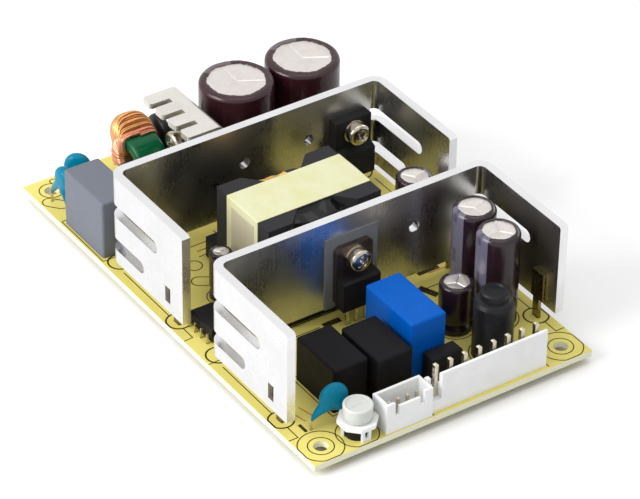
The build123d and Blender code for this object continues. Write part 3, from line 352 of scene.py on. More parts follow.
@dataclass(frozen=True)
class FoldedSheet(SheetMetal):
    """Heatsink sheet with painted shade on the faces that look into the fold: a darker colour
    stands in for the dark interior that they mirror.

    Attributes:
        inner: Painted shade of the inner faces, a darker colour in place of the dark interior that
            they mirror.
        spans: First and last X in millimetres of the inside of each heatsink.
        half_inside: Half the width in millimetres between the flanges.
        low: Height in millimetres of the lower rim.
        high: Height in millimetres of the upper rim.
        relief: Depth of the waves in metres.
        wavy: As in SheetMetal.
    """

    # Painted shade: the inner faces take this darker colour in place of the dark interior they
    # mirror.
    inner: Colour = srgb(204, 202, 198)
    spans: tuple[tuple[float, float], ...] = ((-20.74, 9.46), (22.06, 52.26))
    half_inside: float = 35.86
    low: float = 7.93
    high: float = 31.95
    relief: float = 0.000003
    wavy: bool = True

    def ground(self, graph: Graph, base: Socket) -> Socket:
        """Paints shade on the inner faces: mixes in the darker inner colour inside each heatsink's
        fold.
        """
        across = graph.between(graph.axis(1), -self.half_inside * MM, self.half_inside * MM)
        rise = graph.between(graph.axis(2), self.low * MM, self.high * MM)
        along = graph.maths("MAXIMUM", *(graph.between(graph.axis(0), first * MM, last * MM)
                                         for first, last in self.spans))
        # Mask of the inner faces, where the shade is painted.
        inside = graph.maths("MULTIPLY", graph.maths("MULTIPLY", across, rise), along)
        return graph.mixed(inside, base, self.inner)


@dataclass(frozen=True)
class PlatedMetal(Finish):
    """Small plated or soldered metal part with slight dullness and pits.

    Attributes:
        grain: Waves a metre of the uneven plating.
        tint: Colour of the duller places.
        relief: Depth of the pits in metres.
    """

    grain: float = 900.0
    tint: Colour = (0.42, 0.36, 0.27)
    relief: float = 0.000015

    def dress(self, graph: Graph) -> None:
        """Adds uneven plating."""
        graph.set("Metallic", 1.0)
        grain = graph.noise(self.grain, 4.0)
        graph.set("Base Color", graph.fade(grain, 0.45, 0.72, 0.5, self.colour, self.tint))
        graph.uneven(grain, self.roughness, 0.75, 1.4)
        graph.relief(grain, self.relief, 0.5)


@dataclass(frozen=True)
class Moulding(Finish):
    """Moulded or dipped plastic with a fine grain and a little handling dust.

    Attributes:
        grain: Waves a metre of the surface grain.
        relief: Depth of the grain in metres.
        dust: Share of pale dust on it.
        shine: Level of its mirror-like reflection.
        glow: Weight of light scattered under the surface.
    """

    grain: float = 2600.0
    relief: float = 0.00001
    dust: float = 0.08
    shine: float = 0.15
    glow: float = 0.0

    def dress(self, graph: Graph) -> None:
        """Adds grain, dust and uneven shine."""
        grain = graph.noise(self.grain, 3.0)
        clouds = graph.noise(260.0, 4.0)
        specks = graph.spread(graph.cells(1500.0), 0.05, 0.14, self.dust * 2.2, 0.0)
        veil = graph.spread(clouds, 0.42, 0.72, 0.0, self.dust)
        base = graph.fade(clouds, *NOISE, 0.3, self.colour, self.shade(0.86))
        graph.set("Base Color", graph.mixed(graph.maths("MAXIMUM", specks, veil), base, DUST))
        graph.uneven(clouds, self.roughness, 0.85, 1.2)
        graph.set("Specular IOR Level", self.shine)
        if self.glow:
            graph.set("Subsurface Weight", self.glow)
            graph.shader.inputs["Subsurface Radius"].default_value = (1.0, 0.9, 0.8)
            graph.set("Subsurface Scale", 0.0012)
        graph.relief(grain, self.relief, 0.7)


@dataclass(frozen=True)
class Laminate(Finish):
    """Glass-and-paper board: lacquered faces, a pale sawn edge and a faint weave.

    Attributes:
        edge: Colour of the sawn edge and the hole walls.
        sawn: Colour of the streaks on the edge.
        underside: Colour of the solder side.
        weave: Threads of the weave, in radians a metre.
    """

    edge: Colour = srgb(238, 236, 212)
    sawn: Colour = srgb(206, 204, 160)
    underside: Colour = srgb(186, 178, 92)
    weave: float = 9000.0

    def dress(self, graph: Graph) -> None:
        """Tells the faces from the edge by height, and adds weave and flecks."""
        height = graph.axis(2)
        middle = (BOARD_TOP + BOARD_BOTTOM) / 2 * MM
        half = (BOARD_TOP - BOARD_BOTTOM) / 2 * MM
        inside = graph.near(height, middle, half * 0.95)
        below = graph.maths("LESS_THAN", height, middle - half * 0.9)
        weave = graph.maths("MULTIPLY", *(
            graph.maths("SINE", graph.maths("MULTIPLY", graph.axis(index), self.weave))
            for index in (0, 1)))
        clouds = graph.noise(75.0, 5.0)
        flecks = graph.noise(2600.0, 2.0)
        face = graph.fade(clouds, *NOISE, 0.5, self.colour, self.shade(0.9))
        face = graph.fade(flecks, 0.6, 0.75, 0.22, face, self.shade(0.72))
        face = graph.fade(weave, -1.0, 1.0, 0.07, face, self.shade(0.8))
        face = graph.mixed(below, face, self.underside)
        streaks = graph.noise(1.0, 4.0, graph.stretched((700.0, 700.0, 5200.0)))
        edge = graph.fade(streaks, 0.35, 0.7, 0.4, self.edge, self.sawn)
        graph.set("Base Color", graph.mixed(inside, face, edge))
        graph.set("Roughness", graph.spread(inside, 0.0, 1.0, self.roughness, 0.7))
        graph.set("Specular IOR Level", 0.15)
        graph.relief(graph.maths("MULTIPLY", weave, 0.5), 0.000006, 0.35)


@dataclass(frozen=True)
class Ink(Finish):
    """Printed legend, a little thin and uneven.

    Attributes:
        under: Colour of the board where the ink is thin.
    """

    under: Colour = srgb(120, 108, 50)

    def dress(self, graph: Graph) -> None:
        """Adds thin places to the ink."""
        thin = graph.noise(2400.0, 3.0)
        graph.set("Base Color", graph.fade(thin, 0.42, 0.72, 0.4, self.colour, self.under))
        graph.set("Specular IOR Level", 0.15)
        graph.relief(thin, 0.000006, 0.4)


@dataclass(frozen=True)
class ShrinkSleeve(Finish):
    """Shrunk sleeve of a capacitor with one pale stripe and plain bars in it.

    Attributes:
        stripe: Colour of the stripe.
        stripe_share: Share of the way round that the stripe takes.
        core_share: Share of the stripe's width that its bars take.
        bars: Bars a metre of height.
        soft: Width of a soft edge, as a share of the way round.
    """

    stripe: Colour = srgb(150, 146, 168)
    stripe_share: float = 0.16
    core_share: float = 0.22
    bars: float = 90.0
    soft: float = 0.004

    def dress(self, graph: Graph) -> None:
        """Lays the stripe by the UV's second value, which is 0 along its middle."""
        around = graph.axis(1, graph.uv)
        offset = graph.maths("ABSOLUTE", graph.maths("SUBTRACT", graph.maths(
            "FRACT", graph.maths("ADD", around, 0.5)), 0.5))
        half = self.stripe_share / 2
        core_half = half * self.core_share
        inside = graph.spread(offset, half, half + self.soft, 1.0, 0.0)
        core = graph.spread(offset, core_half, core_half + self.soft, 0.45, 0.0)
        beat = graph.maths("FRACT", graph.maths("MULTIPLY", graph.axis(2), self.bars))
        bar = graph.spread(graph.maths("ABSOLUTE", graph.maths("SUBTRACT", beat, 0.5)),
                           0.16, 0.18, 1.0, 0.0)
        clouds = graph.noise(300.0, 4.0)
        base = graph.fade(clouds, *NOISE, 0.45, self.colour, self.shade(1.3))
        striped = graph.mixed(graph.maths("MULTIPLY", core, bar), self.stripe, base)
        graph.set("Base Color", graph.mixed(inside, base, striped))
        graph.uneven(clouds, self.roughness, 0.8, 1.3)
        graph.set("Specular IOR Level", 0.45)
        folds = graph.noise(1.0, 3.0, graph.stretched((1400.0, 1400.0, 260.0)))
        graph.relief(folds, 0.00004, 0.35)


@dataclass(frozen=True)
class TapeFilm(Finish):
    """Polyester tape that shows the layer under it in patches.

    Attributes:
        under: Colour that shows through.
        spots: Colour of the small bubbles.
    """

    under: Colour = srgb(205, 202, 148)
    spots: Colour = srgb(205, 190, 90)

    def dress(self, graph: Graph) -> None:
        """Adds pale bubbles, faint wrinkles and a gloss."""
        clouds = graph.noise(210.0, 5.0)
        wrinkles = graph.noise(1.0, 4.0, graph.stretched((240.0, 900.0, 700.0)))
        base = graph.fade(clouds, 0.44, 0.66, 0.7, self.colour, self.under)
        spots = graph.spread(graph.cells(420.0), 0.05, 0.12, 0.35, 0.0)
        graph.set("Base Color", graph.mixed(spots, base, self.spots))
        graph.uneven(clouds, self.roughness, 1.0, 1.5)
        graph.set("Specular IOR Level", 0.3)
        graph.relief(wrinkles, 0.00005, 0.35)


@dataclass(frozen=True)
class Enamel(Finish):
    """Enamelled copper wire: bright metal under an amber film."""

    def dress(self, graph: Graph) -> None:
        """Adds darker enamel in patches."""
        graph.set("Metallic", 0.85)
        patch = graph.noise(480.0, 4.0)
        graph.set("Base Color", graph.fade(patch, 0.38, 0.66, 0.6, self.colour, self.shade(0.62)))
        graph.uneven(patch, self.roughness, 0.8, 1.3)
        graph.set("Coat Weight", 0.2)
        graph.set("Coat Roughness", 0.14)
        graph.relief(graph.noise(3200.0, 2.0), 0.000008, 0.4)


@dataclass(frozen=True)
class GroundCeramic(Finish):
    """Ground ferrite or fired ceramic: dull, speckled and finely pitted.

    Attributes:
        speck: Colour of the specks.
    """

    speck: Colour = srgb(96, 94, 92)

    def dress(self, graph: Graph) -> None:
        """Adds specks and pits."""
        specks = graph.noise(5200.0, 2.0)
        clouds = graph.noise(180.0, 4.0)
        base = graph.fade(clouds, 0.35, 0.7, 0.45, self.colour, self.shade(1.6))
        graph.set("Base Color", graph.fade(specks, 0.6, 0.78, 0.4, base, self.speck))
        graph.uneven(clouds, self.roughness, 0.85, 1.15)
        graph.set("Specular IOR Level", 0.15)
        graph.relief(specks, 0.00003, 0.45)


FINISHES: tuple[Finish, ...] = (
    Laminate("solder_mask_board", srgb(226, 213, 118), 0.5),
    Ink("legend_ink", srgb(44, 34, 16), 0.6),
    Ink("legend_red", srgb(200, 92, 52), 0.6),
    Moulding("lacquered_track", srgb(158, 140, 52), 0.4, relief=0.000006),
    PlatedMetal("solder", srgb(196, 198, 200), 0.3, grain=1600.0, tint=srgb(150, 150, 150)),
    PlatedMetal("tinned_lead", srgb(214, 204, 168), 0.26),
    # Heatsink metal, with painted shade on the faces inside each fold.
    FoldedSheet("bare_aluminium", srgb(236, 236, 238), 0.27, tint=srgb(222, 221, 218)),
    SheetMetal("bracket_aluminium", srgb(232, 228, 222), 0.3, (1900.0, 240.0, 240.0), 140.0,
               srgb(214, 208, 200)),
    PlatedMetal("tinned_steel", srgb(150, 138, 104), 0.22, tint=srgb(104, 86, 48)),
    PlatedMetal("nickel_steel", srgb(196, 188, 174), 0.17, tint=srgb(150, 132, 104)),
    Moulding("device_moulding", srgb(28, 27, 29), 0.5, 3600.0, 0.000025, 0.02, 0.12),
    PlatedMetal("device_tab", srgb(116, 104, 99), 0.36, 420.0, srgb(92, 64, 52)),
    Moulding("insulator_grey", srgb(110, 113, 120), 0.42, 1500.0, 0.00003, 0.04, 0.3),
    SheetMetal("capacitor_can", srgb(226, 220, 216), 0.42, (900.0, 900.0, 900.0), 420.0,
               srgb(208, 200, 196)),
    ShrinkSleeve("brown_sleeve", srgb(46, 18, 24), 0.22, srgb(96, 84, 90)),
    ShrinkSleeve("dark_sleeve", srgb(36, 22, 28), 0.2, srgb(98, 95, 112)),
    GroundCeramic("ferrite", srgb(40, 39, 41), 0.62, srgb(70, 68, 68)),
    Moulding("bobbin_moulding", srgb(26, 25, 26), 0.45, 2000.0, 0.00002, 0.03, 0.15),
    Moulding("winding_tape", srgb(18, 16, 17), 0.16, 500.0, 0.00001, 0.01, 0.3),
    Moulding("amber_tape", srgb(232, 180, 88), 0.25, 600.0, 0.00004, 0.01, 0.5),
    TapeFilm("yellow_tape", srgb(210, 210, 174), 0.36),
    Moulding("label_paper", srgb(190, 182, 156), 0.6, 2400.0, 0.00001, 0.05),
    Moulding("green_coating", srgb(0, 84, 50), 0.2, 700.0, 0.00004, 0.0, 0.25),
    Enamel("enamelled_copper", srgb(232, 170, 108), 0.3),
    # Pinker copy of the same copper for the front winding: painted light for how light falls on the
    # front of the choke.
    Enamel("enamelled_copper_front_painted_light", srgb(238, 162, 126), 0.3),
    Moulding("grey_case", srgb(108, 112, 122), 0.4, 3000.0, 0.000015, 0.03, 0.15),
    Moulding("blue_case", srgb(0, 88, 182), 0.36, 3000.0, 0.000015, 0.0, 0.1),
    Moulding("black_case", srgb(24, 22, 25), 0.45, 3200.0, 0.00002, 0.01, 0.08),
    Moulding("blue_dip", srgb(0, 118, 148), 0.16, 420.0, 0.00003, 0.0, 0.14),
    Moulding("dark_dip", srgb(22, 22, 24), 0.34, 420.0, 0.00006, 0.02, 0.25),
    Moulding("black_shrink", srgb(24, 24, 28), 0.38, 600.0, 0.00006, 0.02, 0.2),
    GroundCeramic("fuse_ceramic", srgb(224, 220, 208), 0.5, srgb(200, 194, 180)),
    PlatedMetal("fuse_cap", srgb(210, 208, 202), 0.22, tint=srgb(180, 176, 168)),
    Moulding("white_nylon", srgb(238, 239, 239), 0.42, 2000.0, 0.000015, 0.02, 0.3, 0.2),
    PlatedMetal("tinned_brass", srgb(214, 206, 186), 0.24, tint=srgb(176, 160, 120)),
    Moulding("clear_grey_plastic", srgb(208, 210, 205), 0.3, 1500.0, 0.00001, 0.02, 0.4, 0.5),
)


class FinishBook:
    """Materials of the part by name, and their place on the CAD nodes."""

    def __init__(self, finishes: Sequence[Finish]) -> None:
        """Builds every finish once."""
        self.materials = {finish.name: finish.build() for finish in finishes}

    def paint(self, piece: bpy.types.Object, name: str) -> None:
        """Gives a piece one material."""
        piece.data.materials.clear()
        piece.data.materials.append(self.materials[name])

    def paint_nodes(self) -> int:
        """Gives every CAD node the finish of its slot and returns how many there are."""
        slots = {part["node"]: part["material_slot"] for part in frame["record"]["subparts"]}
        for node, piece in frame["nodes"].items():
            self.paint(piece, slots[node])
        return len(slots)


class Skin:
    """Mesh gathered from several surfaces, each worked out as whole arrays."""

    def __init__(self) -> None:
        """Starts empty."""
        self.points: list[Array] = []
        self.corners: list[NDArray[np.int32]] = []
        self.sizes: list[NDArray[np.int32]] = []
        self.marks: list[Array] = []
        self.count = 0

    def add(self, grid: Array, ring: bool = True, loop: bool = False, lids: bool = True) -> None:
        """Adds a grid of points as four-sided faces.

        Args:
            grid: Points in millimetres, rows by columns by three.
            ring: The last column joins the first.
            loop: The last row joins the first.
            lids: The first and last rows are closed by a flat face each.
        """
        rows, columns = grid.shape[:2]
        index = np.arange(rows * columns, dtype=np.int32).reshape(rows, columns) + self.count
        mark = np.stack(np.meshgrid(np.linspace(0, 1, rows), np.arange(columns) / columns,
                                    indexing="ij"), axis=-1)
        if ring:
            index = np.concatenate([index, index[:, :1]], axis=1)
            seam = np.stack([mark[:, 0, 0], np.ones(rows)], axis=-1)[:, None]
            mark = np.concatenate([mark, seam], axis=1)
        if loop:
            index = np.concatenate([index, index[:1]], axis=0)
            mark = np.concatenate([mark, mark[:1]], axis=0)
        quads = self._quads(index)
        self.points.append(grid.reshape(-1, 3))
        self.corners.append(quads.reshape(-1))
        self.sizes.append(np.full(len(quads), 4, dtype=np.int32))
        self.marks.append(self._quads(mark).reshape(-1, 2))
        if lids and ring and not loop:
            for row, order in ((0, -1), (-1, 1)):
                self.corners.append(index[row, :-1][::order])
                self.sizes.append(np.array([columns], dtype=np.int32))
                self.marks.append(mark[row, :-1][::order])
        self.count += rows * columns

    @staticmethod
    def _quads(values: NDArray[Any]) -> NDArray[Any]:
        """Four corner values of each cell of a grid, in order round the cell."""
        corners = (values[:-1, :-1], values[1:, :-1], values[1:, 1:], values[:-1, 1:])
        stacked = np.stack(corners, axis=2)
        return stacked.reshape(-1, *stacked.shape[2:])

    def build(self, name: str, sharp: float) -> bpy.types.Object:
        """Makes one object of everything added so far.

        Args:
            name: Name of the object.
            sharp: Angle in degrees from which an edge stays sharp.

        Returns:
            The object, linked to the scene, with its faces turned outward.
        """
        corners = np.concatenate(self.corners).astype(np.int32)
        sizes = np.concatenate(self.sizes).astype(np.int32)
        starts = np.concatenate([[0], np.cumsum(sizes)[:-1]]).astype(np.int32)
        mesh = bpy.data.meshes.new(name)
        mesh.vertices.add(self.count)
        mesh.vertices.foreach_set("co", (np.concatenate(self.points) * MM).ravel())
        mesh.loops.add(len(corners))
        mesh.loops.foreach_set("vertex_index", corners)
        mesh.polygons.add(len(sizes))
        mesh.polygons.foreach_set("loop_start", starts)
        mesh.polygons.foreach_set("loop_total", sizes)
        layer = mesh.uv_layers.new(name="UVMap")
        layer.data.foreach_set("uv", np.concatenate(self.marks).ravel())
        mesh.update(calc_edges=True)
        mesh.validate()
        tidy = bmesh.new()
        tidy.from_mesh(mesh)
        bmesh.ops.dissolve_degenerate(tidy, dist=1e-7, edges=tidy.edges[:])
        bmesh.ops.recalc_face_normals(tidy, faces=tidy.faces[:])
        tidy.to_mesh(mesh)
        tidy.free()
        mesh.shade_smooth()
        mesh.set_sharp_from_angle(angle=radians(sharp))
        piece = bpy.data.objects.new(name, mesh)
        bpy.context.collection.objects.link(piece)
        return piece


def rounded(radius: float, top: float, edge: float, count: int) -> Array:
    """Quarter round (radius, height) from a wall up to a flat top.

    Args:
        radius: Radius of the wall.
        top: Height of the top.
        edge: Radius of the rounding.
        count: Points wanted.

    Returns:
        Points from the wall inwards.
    """
    turn = np.linspace(0, pi / 2, count)
    return np.stack([radius - edge + edge * np.cos(turn), top - edge + edge * np.sin(turn)], axis=1)


def lathe(profile: Array, columns: int, start: float = 0.0) -> Array:
    """Surface of revolution about Z: each profile point (radius, height) goes round once.

    Args:
        profile: Radius and height of each row.
        columns: Points round the axis.
        start: Angle in radians of the first column.

    Returns:
        Grid of points, rows by columns by three.
    """
    angle = start + np.linspace(0, 2 * pi, columns, endpoint=False)
    radius, height = profile[:, 0, None], profile[:, 1, None]
    flat = np.ones_like(angle)
    return np.stack([radius * np.cos(angle), radius * np.sin(angle), height * flat], axis=-1)


def unit(vectors: Array) -> Array:
    """Rows brought to a length of one."""
    return vectors / np.linalg.norm(vectors, axis=1, keepdims=True)


def tube(path: Array, radius: float, sides: int, up: Array) -> Array:
    """Round tube: a circle of the given radius stands across the path's direction at each point.

    Args:
        path: Points of the centre line.
        radius: Radius of the tube.
        sides: Points round the tube.
        up: Direction at each point from which the circles start.

    Returns:
        Grid of points, path points by sides by three.
    """
    along = unit(np.gradient(path, axis=0))
    first = unit(up - along * np.sum(up * along, axis=1, keepdims=True))
    second = np.cross(along, first)
    turn = np.linspace(0, 2 * pi, sides, endpoint=False)[:, None]
    ring = first[:, None] * np.cos(turn) + second[:, None] * np.sin(turn)
    return path[:, None] + radius * ring


def band(path: Array, width: float, low: float, high: float, closed: bool = False) -> Array:
    """Flat strip of rectangular section that follows a path in the plane, mitred at its corners.

    Args:
        path: Points (x, y) of the middle line.
        width: Width of the strip.
        low: Height of its underside.
        high: Height of its top.
        closed: The path's last point joins its first.

    Returns:
        Grid of points, path points by four section corners by three.
    """
    if closed:
        before, after = path - np.roll(path, 1, axis=0), np.roll(path, -1, axis=0) - path
    else:
        step = np.diff(path, axis=0)
        before, after = np.vstack([step[:1], step]), np.vstack([step, step[-1:]])
    before, after = unit(before), unit(after)
    across = unit((before + after)[:, ::-1] * (-1, 1))
    normal = before[:, ::-1] * (-1, 1)
    mitre = 1 / np.maximum(np.sum(across * normal, axis=1, keepdims=True), 0.4)
    side = across * mitre * width / 2
    return np.stack([at_height(path + side, low), at_height(path + side, high),
                     at_height(path - side, high), at_height(path - side, low)], axis=1)


def at_height(points: Array, height: float) -> Array:
    """Points (x, y) lifted to one height."""
    return np.column_stack([points, np.full(len(points), height)])


def circle(x: float, y: float, radius: float, count: int = 72) -> Array:
    """Points (x, y) evenly round a circle."""
    turn = np.linspace(0, 2 * pi, count, endpoint=False)
    return np.stack([x + radius * np.cos(turn), y + radius * np.sin(turn)], axis=-1)


def stadium(start: Sequence[float], end: Sequence[float], radius: float) -> Array:
    """Points (x, y) round an outline with straight sides and half-round ends."""
    heading = atan2(end[1] - start[1], end[0] - start[0])
    turn = heading + np.linspace(-pi / 2, pi / 2, 14)
    cap = radius * np.stack([np.cos(turn), np.sin(turn)], axis=-1)
    return np.vstack([end + cap, start - cap])


@dataclass
class Part:
    """Something that builds pieces and ties them to the record's bodies.

    Attributes:
        book: Finishes that its pieces use.
    """

    book: FinishBook

    def fit(self, skin: Skin, name: str, finish: str, slot: str, node: str = "",
            sharp: float = 38.0, body: Body = Body.BOARD) -> None:
        """Makes a piece, paints it, ties it to a body and hides the CAD node that it replaces.

        Args:
            skin: Surfaces of the piece.
            name: Name of the piece.
            finish: Name of its finish.
            slot: The record's slot that it takes its finish from; not used.
            node: CAD node that it replaces, if any.
            sharp: Angle in degrees from which an edge stays sharp.
            body: Body that it moves with.
        """
        piece = skin.build(name, sharp)
        self.book.paint(piece, finish)
        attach(piece, body.value)
        if node:
            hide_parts(node)
        LOG.info("%s: %d faces, %s", name, len(piece.data.polygons), finish)


@dataclass
class BoardLegend(Part):
    """Printed rings, outlines and patches on the component side.

    Attributes:
        ink_height: Thickness of the ink.
        thin: Width of an outline.
        thick: Width of a bold line.
        rim: Least distance of an outline's middle from the board's edge.
        bold_rim: The same for a bold line.
        screw_rings: Radii of the rings round each mounting hole.
        clip_ring: Radius of the ring round each heatsink leg.
        stadium_radius: Radius of the ends of a stadium.
        clip_places: Places of the heatsink legs on the +Y side; the -Y side mirrors them.
        rings: Place and radius of each further ring.
        mirrored: Corners of the outlines that stand on both long sides.
        boxes: Two opposite corners of each rectangle.
        outlines: Corners of each further outline.
        stadiums: Middles of the two round ends of each long outline.
        patches: Both ends and width of each filled patch.
        red_lines: Both ends of each red line.
    """

    ink_height: float = 0.025
    thin: float = 0.26
    thick: float = 0.42
    rim: float = 0.2
    bold_rim: float = 0.25
    screw_rings: tuple[float, float] = (2.97, 5.24)
    clip_ring: float = 2.96
    stadium_radius: float = 1.7
    clip_places: tuple[tuple[float, float], ...] = (
        (46.0, 35.3), (18.6, 34.2), (2.83, 35.0), (-24.3, 34.2))
    rings: tuple[tuple[float, float, float], ...] = (
        (-13.51, -20.45, 1.9), (11.99, -31.18, 1.5), (30.9, 27.6, 5.7), (41.3, 26.8, 5.7),
        (39.3, 17.0, 4.7), (51.7, 18.4, 5.3), (0.1, -21.7, 3.3), (4.6, 29.6, 5.1),
        (-38.0, 7.2, 9.8), (-38.0, 26.1, 9.8), (59.0, -23.7, 4.9), (-61.6, -30.6, 0.9))
    mirrored: tuple[tuple[tuple[float, float], ...], ...] = (
        ((-20.1, 35.8), (0.0, 35.8)), ((22.9, 35.8), (43.3, 35.8)),
        ((48.72, 35.6), (53.2, 35.6), (53.2, 38.0)))
    boxes: tuple[tuple[float, float, float, float], ...] = (
        (-45.8, -37.5, -26.6, -26.8), (30.9, -3.6, 50.9, 7.0), (34.8, -25.0, 51.2, -14.2),
        (-55.4, -22.0, -35.2, -7.6))
    outlines: tuple[tuple[tuple[float, float], ...], ...] = (
        ((-17.88, -16.85), (-17.97, -13.59), (-11.9, -13.59), (-11.9, -16.87)),
        ((-23.1, -17.3), (-20.3, -17.3), (-20.3, -9.0), (-23.1, -9.0)),
        ((5.8, -35.64), (9.84, -35.64), (10.0, -38.0)), ((20.4, -38.0), (20.3, -34.9)),
        ((57.0, -19.6), (57.0, -5.9), (63.2, -5.9)), ((56.4, -6.4), (56.4, 26.2), (63.0, 26.2)),
        ((-63.0, 14.2), (-56.4, 14.2), (-56.4, 27.0), (-63.0, 27.0)),
        ((-15.9, -17.6), (-15.9, 14.8), (19.0, 14.8), (19.0, -17.6)),
        ((24.6, -7.0), (27.6, -7.0), (27.6, 6.4), (24.6, 6.4)),
        ((-18.2, 22.0), (-15.4, 22.0), (-15.4, 33.2), (-18.2, 33.2)),
        ((23.6, 24.9), (23.6, 16.4), (33.2, 16.4)), ((22.5, -9.2), (22.5, -33.0)),
        ((23.7, 12.2), (34.6, 12.2), (34.6, 9.0)))
    stadiums: tuple[tuple[tuple[float, float], tuple[float, float]], ...] = (
        ((-7.73, -22.88), (-6.2, -20.5)), ((-54.4, -35.9), (-52.0, -33.9)),
        ((-56.0, -30.0), (-52.4, -25.8)))
    patches: tuple[tuple[tuple[float, float], tuple[float, float], float], ...] = (
        ((17.7, 21.6), (17.7, 27.6), 1.9), ((22.4, 18.8), (27.2, 20.9), 1.9),
        ((22.5, -8.2), (22.5, -3.4), 1.7), ((49.6, -32.9), (52.6, -32.9), 0.8),
        ((5.29, -32.9), (5.29, -31.3), 1.2), ((33.0, 10.9), (38.2, 10.9), 1.4))
    red_lines: tuple[tuple[tuple[float, float], tuple[float, float]], ...] = (
        ((44.4, -29.6), (49.8, -28.3)), ((45.2, -32.0), (49.4, -31.0)),
        ((47.2, -26.6), (47.2, -24.0)), ((19.0, 30.6), (19.0, 24.0)))

    def build(self) -> None:
        """Builds the dark legend and the few red lines."""
        low, high = BOARD_TOP, BOARD_TOP + self.ink_height
        ink, red = Skin(), Skin()
        for path, width, rim in self.closed_paths():
            limit = np.array((HALF_LENGTH - rim, HALF_WIDTH - rim))
            ink.add(band(np.clip(path, -limit, limit), width, low, high, True), loop=True)
        for path in self.open_paths():
            ink.add(band(path, self.thin, low, high))
        for start, end, width in self.patches:
            ink.add(band(np.array([start, end]), width, low, high))
        for line in self.red_lines:
            red.add(band(np.array(line), self.thin, low, high))
        self.fit(ink, "legend_dark", "legend_ink", "solder_mask_board")
        self.fit(red, "legend_red_lines", "legend_red", "solder_mask_board")

    def closed_paths(self) -> list[tuple[Array, float, float]]:
        """Middle line, width and rim of each ring; one screw hole has its inner ring alone."""
        fine = [circle(side_x * HOLE_X, side_y * HOLE_Y, radius)
                for side_x in (-1, 1) for side_y in (-1, 1)
                for radius in self.screw_rings[:1 if side_x + side_y == -2 else 2]]
        fine += [circle(*ring) for ring in self.rings]
        fine += [stadium(*ends, self.stadium_radius) for ends in self.stadiums]
        bold = [circle(x, side * y, self.clip_ring)
                for x, y in self.clip_places for side in (-1, 1)]
        return ([(path, self.thin, self.rim) for path in fine]
                + [(path, self.thick, self.bold_rim) for path in bold])

    def open_paths(self) -> list[Array]:
        """Middle line of each outline and box."""
        paths = [np.array(outline) * (1, side) for outline in self.mirrored for side in (-1, 1)]
        paths += [np.array([(x0, y0), (x1, y0), (x1, y1), (x0, y1), (x0, y0)])
                  for x0, y0, x1, y1 in self.boxes]
        return paths + [np.array(outline) for outline in self.outlines]


@dataclass
class SolderSide(Part):
    """Wide copper tracks under the lacquer on the solder side.

    Attributes:
        thickness: Height of the first strip under the board.
        step: How much deeper each further strip reaches, so that no two faces coincide.
        tracks: Width and points of each track.
    """

    thickness: float = 0.05
    step: float = 0.0015
    tracks: tuple[tuple[float, tuple[tuple[float, float], ...]], ...] = (
        (3.2, ((-60.7, 16.7), (-59.4, 12.9))),
        (3.2, ((-60.7, 24.6), (-54.1, 20.0), (-54.1, -7.2))),
        (2.6, ((-59.4, -11.9), (-59.4, -21.0), (-52.6, -26.0), (-43.9, -32.2))),
        (2.6, ((-52.6, -26.0), (-51.9, -18.2))),
        (2.6, ((-46.6, -7.2), (-51.9, -12.0))),
        (3.6, ((-29.3, -32.2), (-29.3, -22.0), (-39.4, -18.2))),
        (2.2, ((-39.4, -12.0), (-39.6, -8.7))),
        (2.4, ((-34.7, -8.7), (-30.0, -3.0), (-30.0, 8.0), (-38.4, 11.0), (-38.4, 22.4))),
        (2.0, ((-37.0, -8.7), (-38.4, 3.4))),
        (2.2, ((-38.4, 29.8), (-26.0, 33.6), (-18.6, 30.1))),
        (2.2, ((-18.4, 27.8), (-10.0, 22.0), (-13.7, 11.3))),
        (2.4, ((-13.7, -14.1), (-9.0, -20.4), (0.0, -20.4))),
        (2.2, ((5.8, -33.9), (-4.0, -33.9), (-13.5, -28.0), (-13.5, -20.4))),
        (2.0, ((8.3, -26.3), (5.0, -22.9), (0.2, -22.9))),
        (2.2, ((13.4, -33.9), (20.0, -33.0), (28.0, -29.0), (44.0, -29.0), (48.7, -19.7))),
        (2.2, ((36.4, -19.7), (30.0, -22.0), (20.0, -22.0), (13.4, -26.3))),
        (2.2, ((48.7, -19.7), (51.2, -9.4), (60.4, -8.8))),
        (2.2, ((39.2, -9.4), (36.4, -19.7))),
        (3.2, ((16.8, 11.3), (16.8, 1.1), (24.2, 2.0))),
        (2.8, ((16.8, -14.1), (16.8, -3.9), (24.6, -3.1))),
        (2.0, ((24.6, -0.6), (32.9, 1.6))),
        (3.4, ((32.9, 1.6), (28.0, 12.0), (30.6, 25.1), (41.0, 24.3))),
        (3.4, ((48.2, 1.6), (47.0, 9.0), (51.3, 15.9))),
        (3.4, ((51.3, 20.9), (60.2, 23.7), (60.2, 3.9))),
        (3.4, ((30.6, 30.1), (41.0, 29.3), (50.0, 29.0), (56.0, 27.5))),
        (2.2, ((4.3, 27.1), (6.0, 18.0), (16.8, 11.3))),
        (1.8, ((60.4, -16.3), (57.4, -20.8))),
        (1.6, ((53.4, -24.2), (57.4, -26.6))))

    def build(self) -> None:
        """Builds all tracks as one piece: each straight run is a strip with round ends."""
        copper = Skin()
        low = BOARD_BOTTOM - self.thickness
        for width, points in self.tracks:
            for start, end in zip(points, points[1:]):
                outline = stadium(start, end, width / 2)
                copper.add(np.stack([at_height(outline, low), at_height(outline, BOARD_BOTTOM)]))
                low -= self.step
        self.fit(copper, "solder_side_tracks", "lacquered_track", "solder_mask_board")


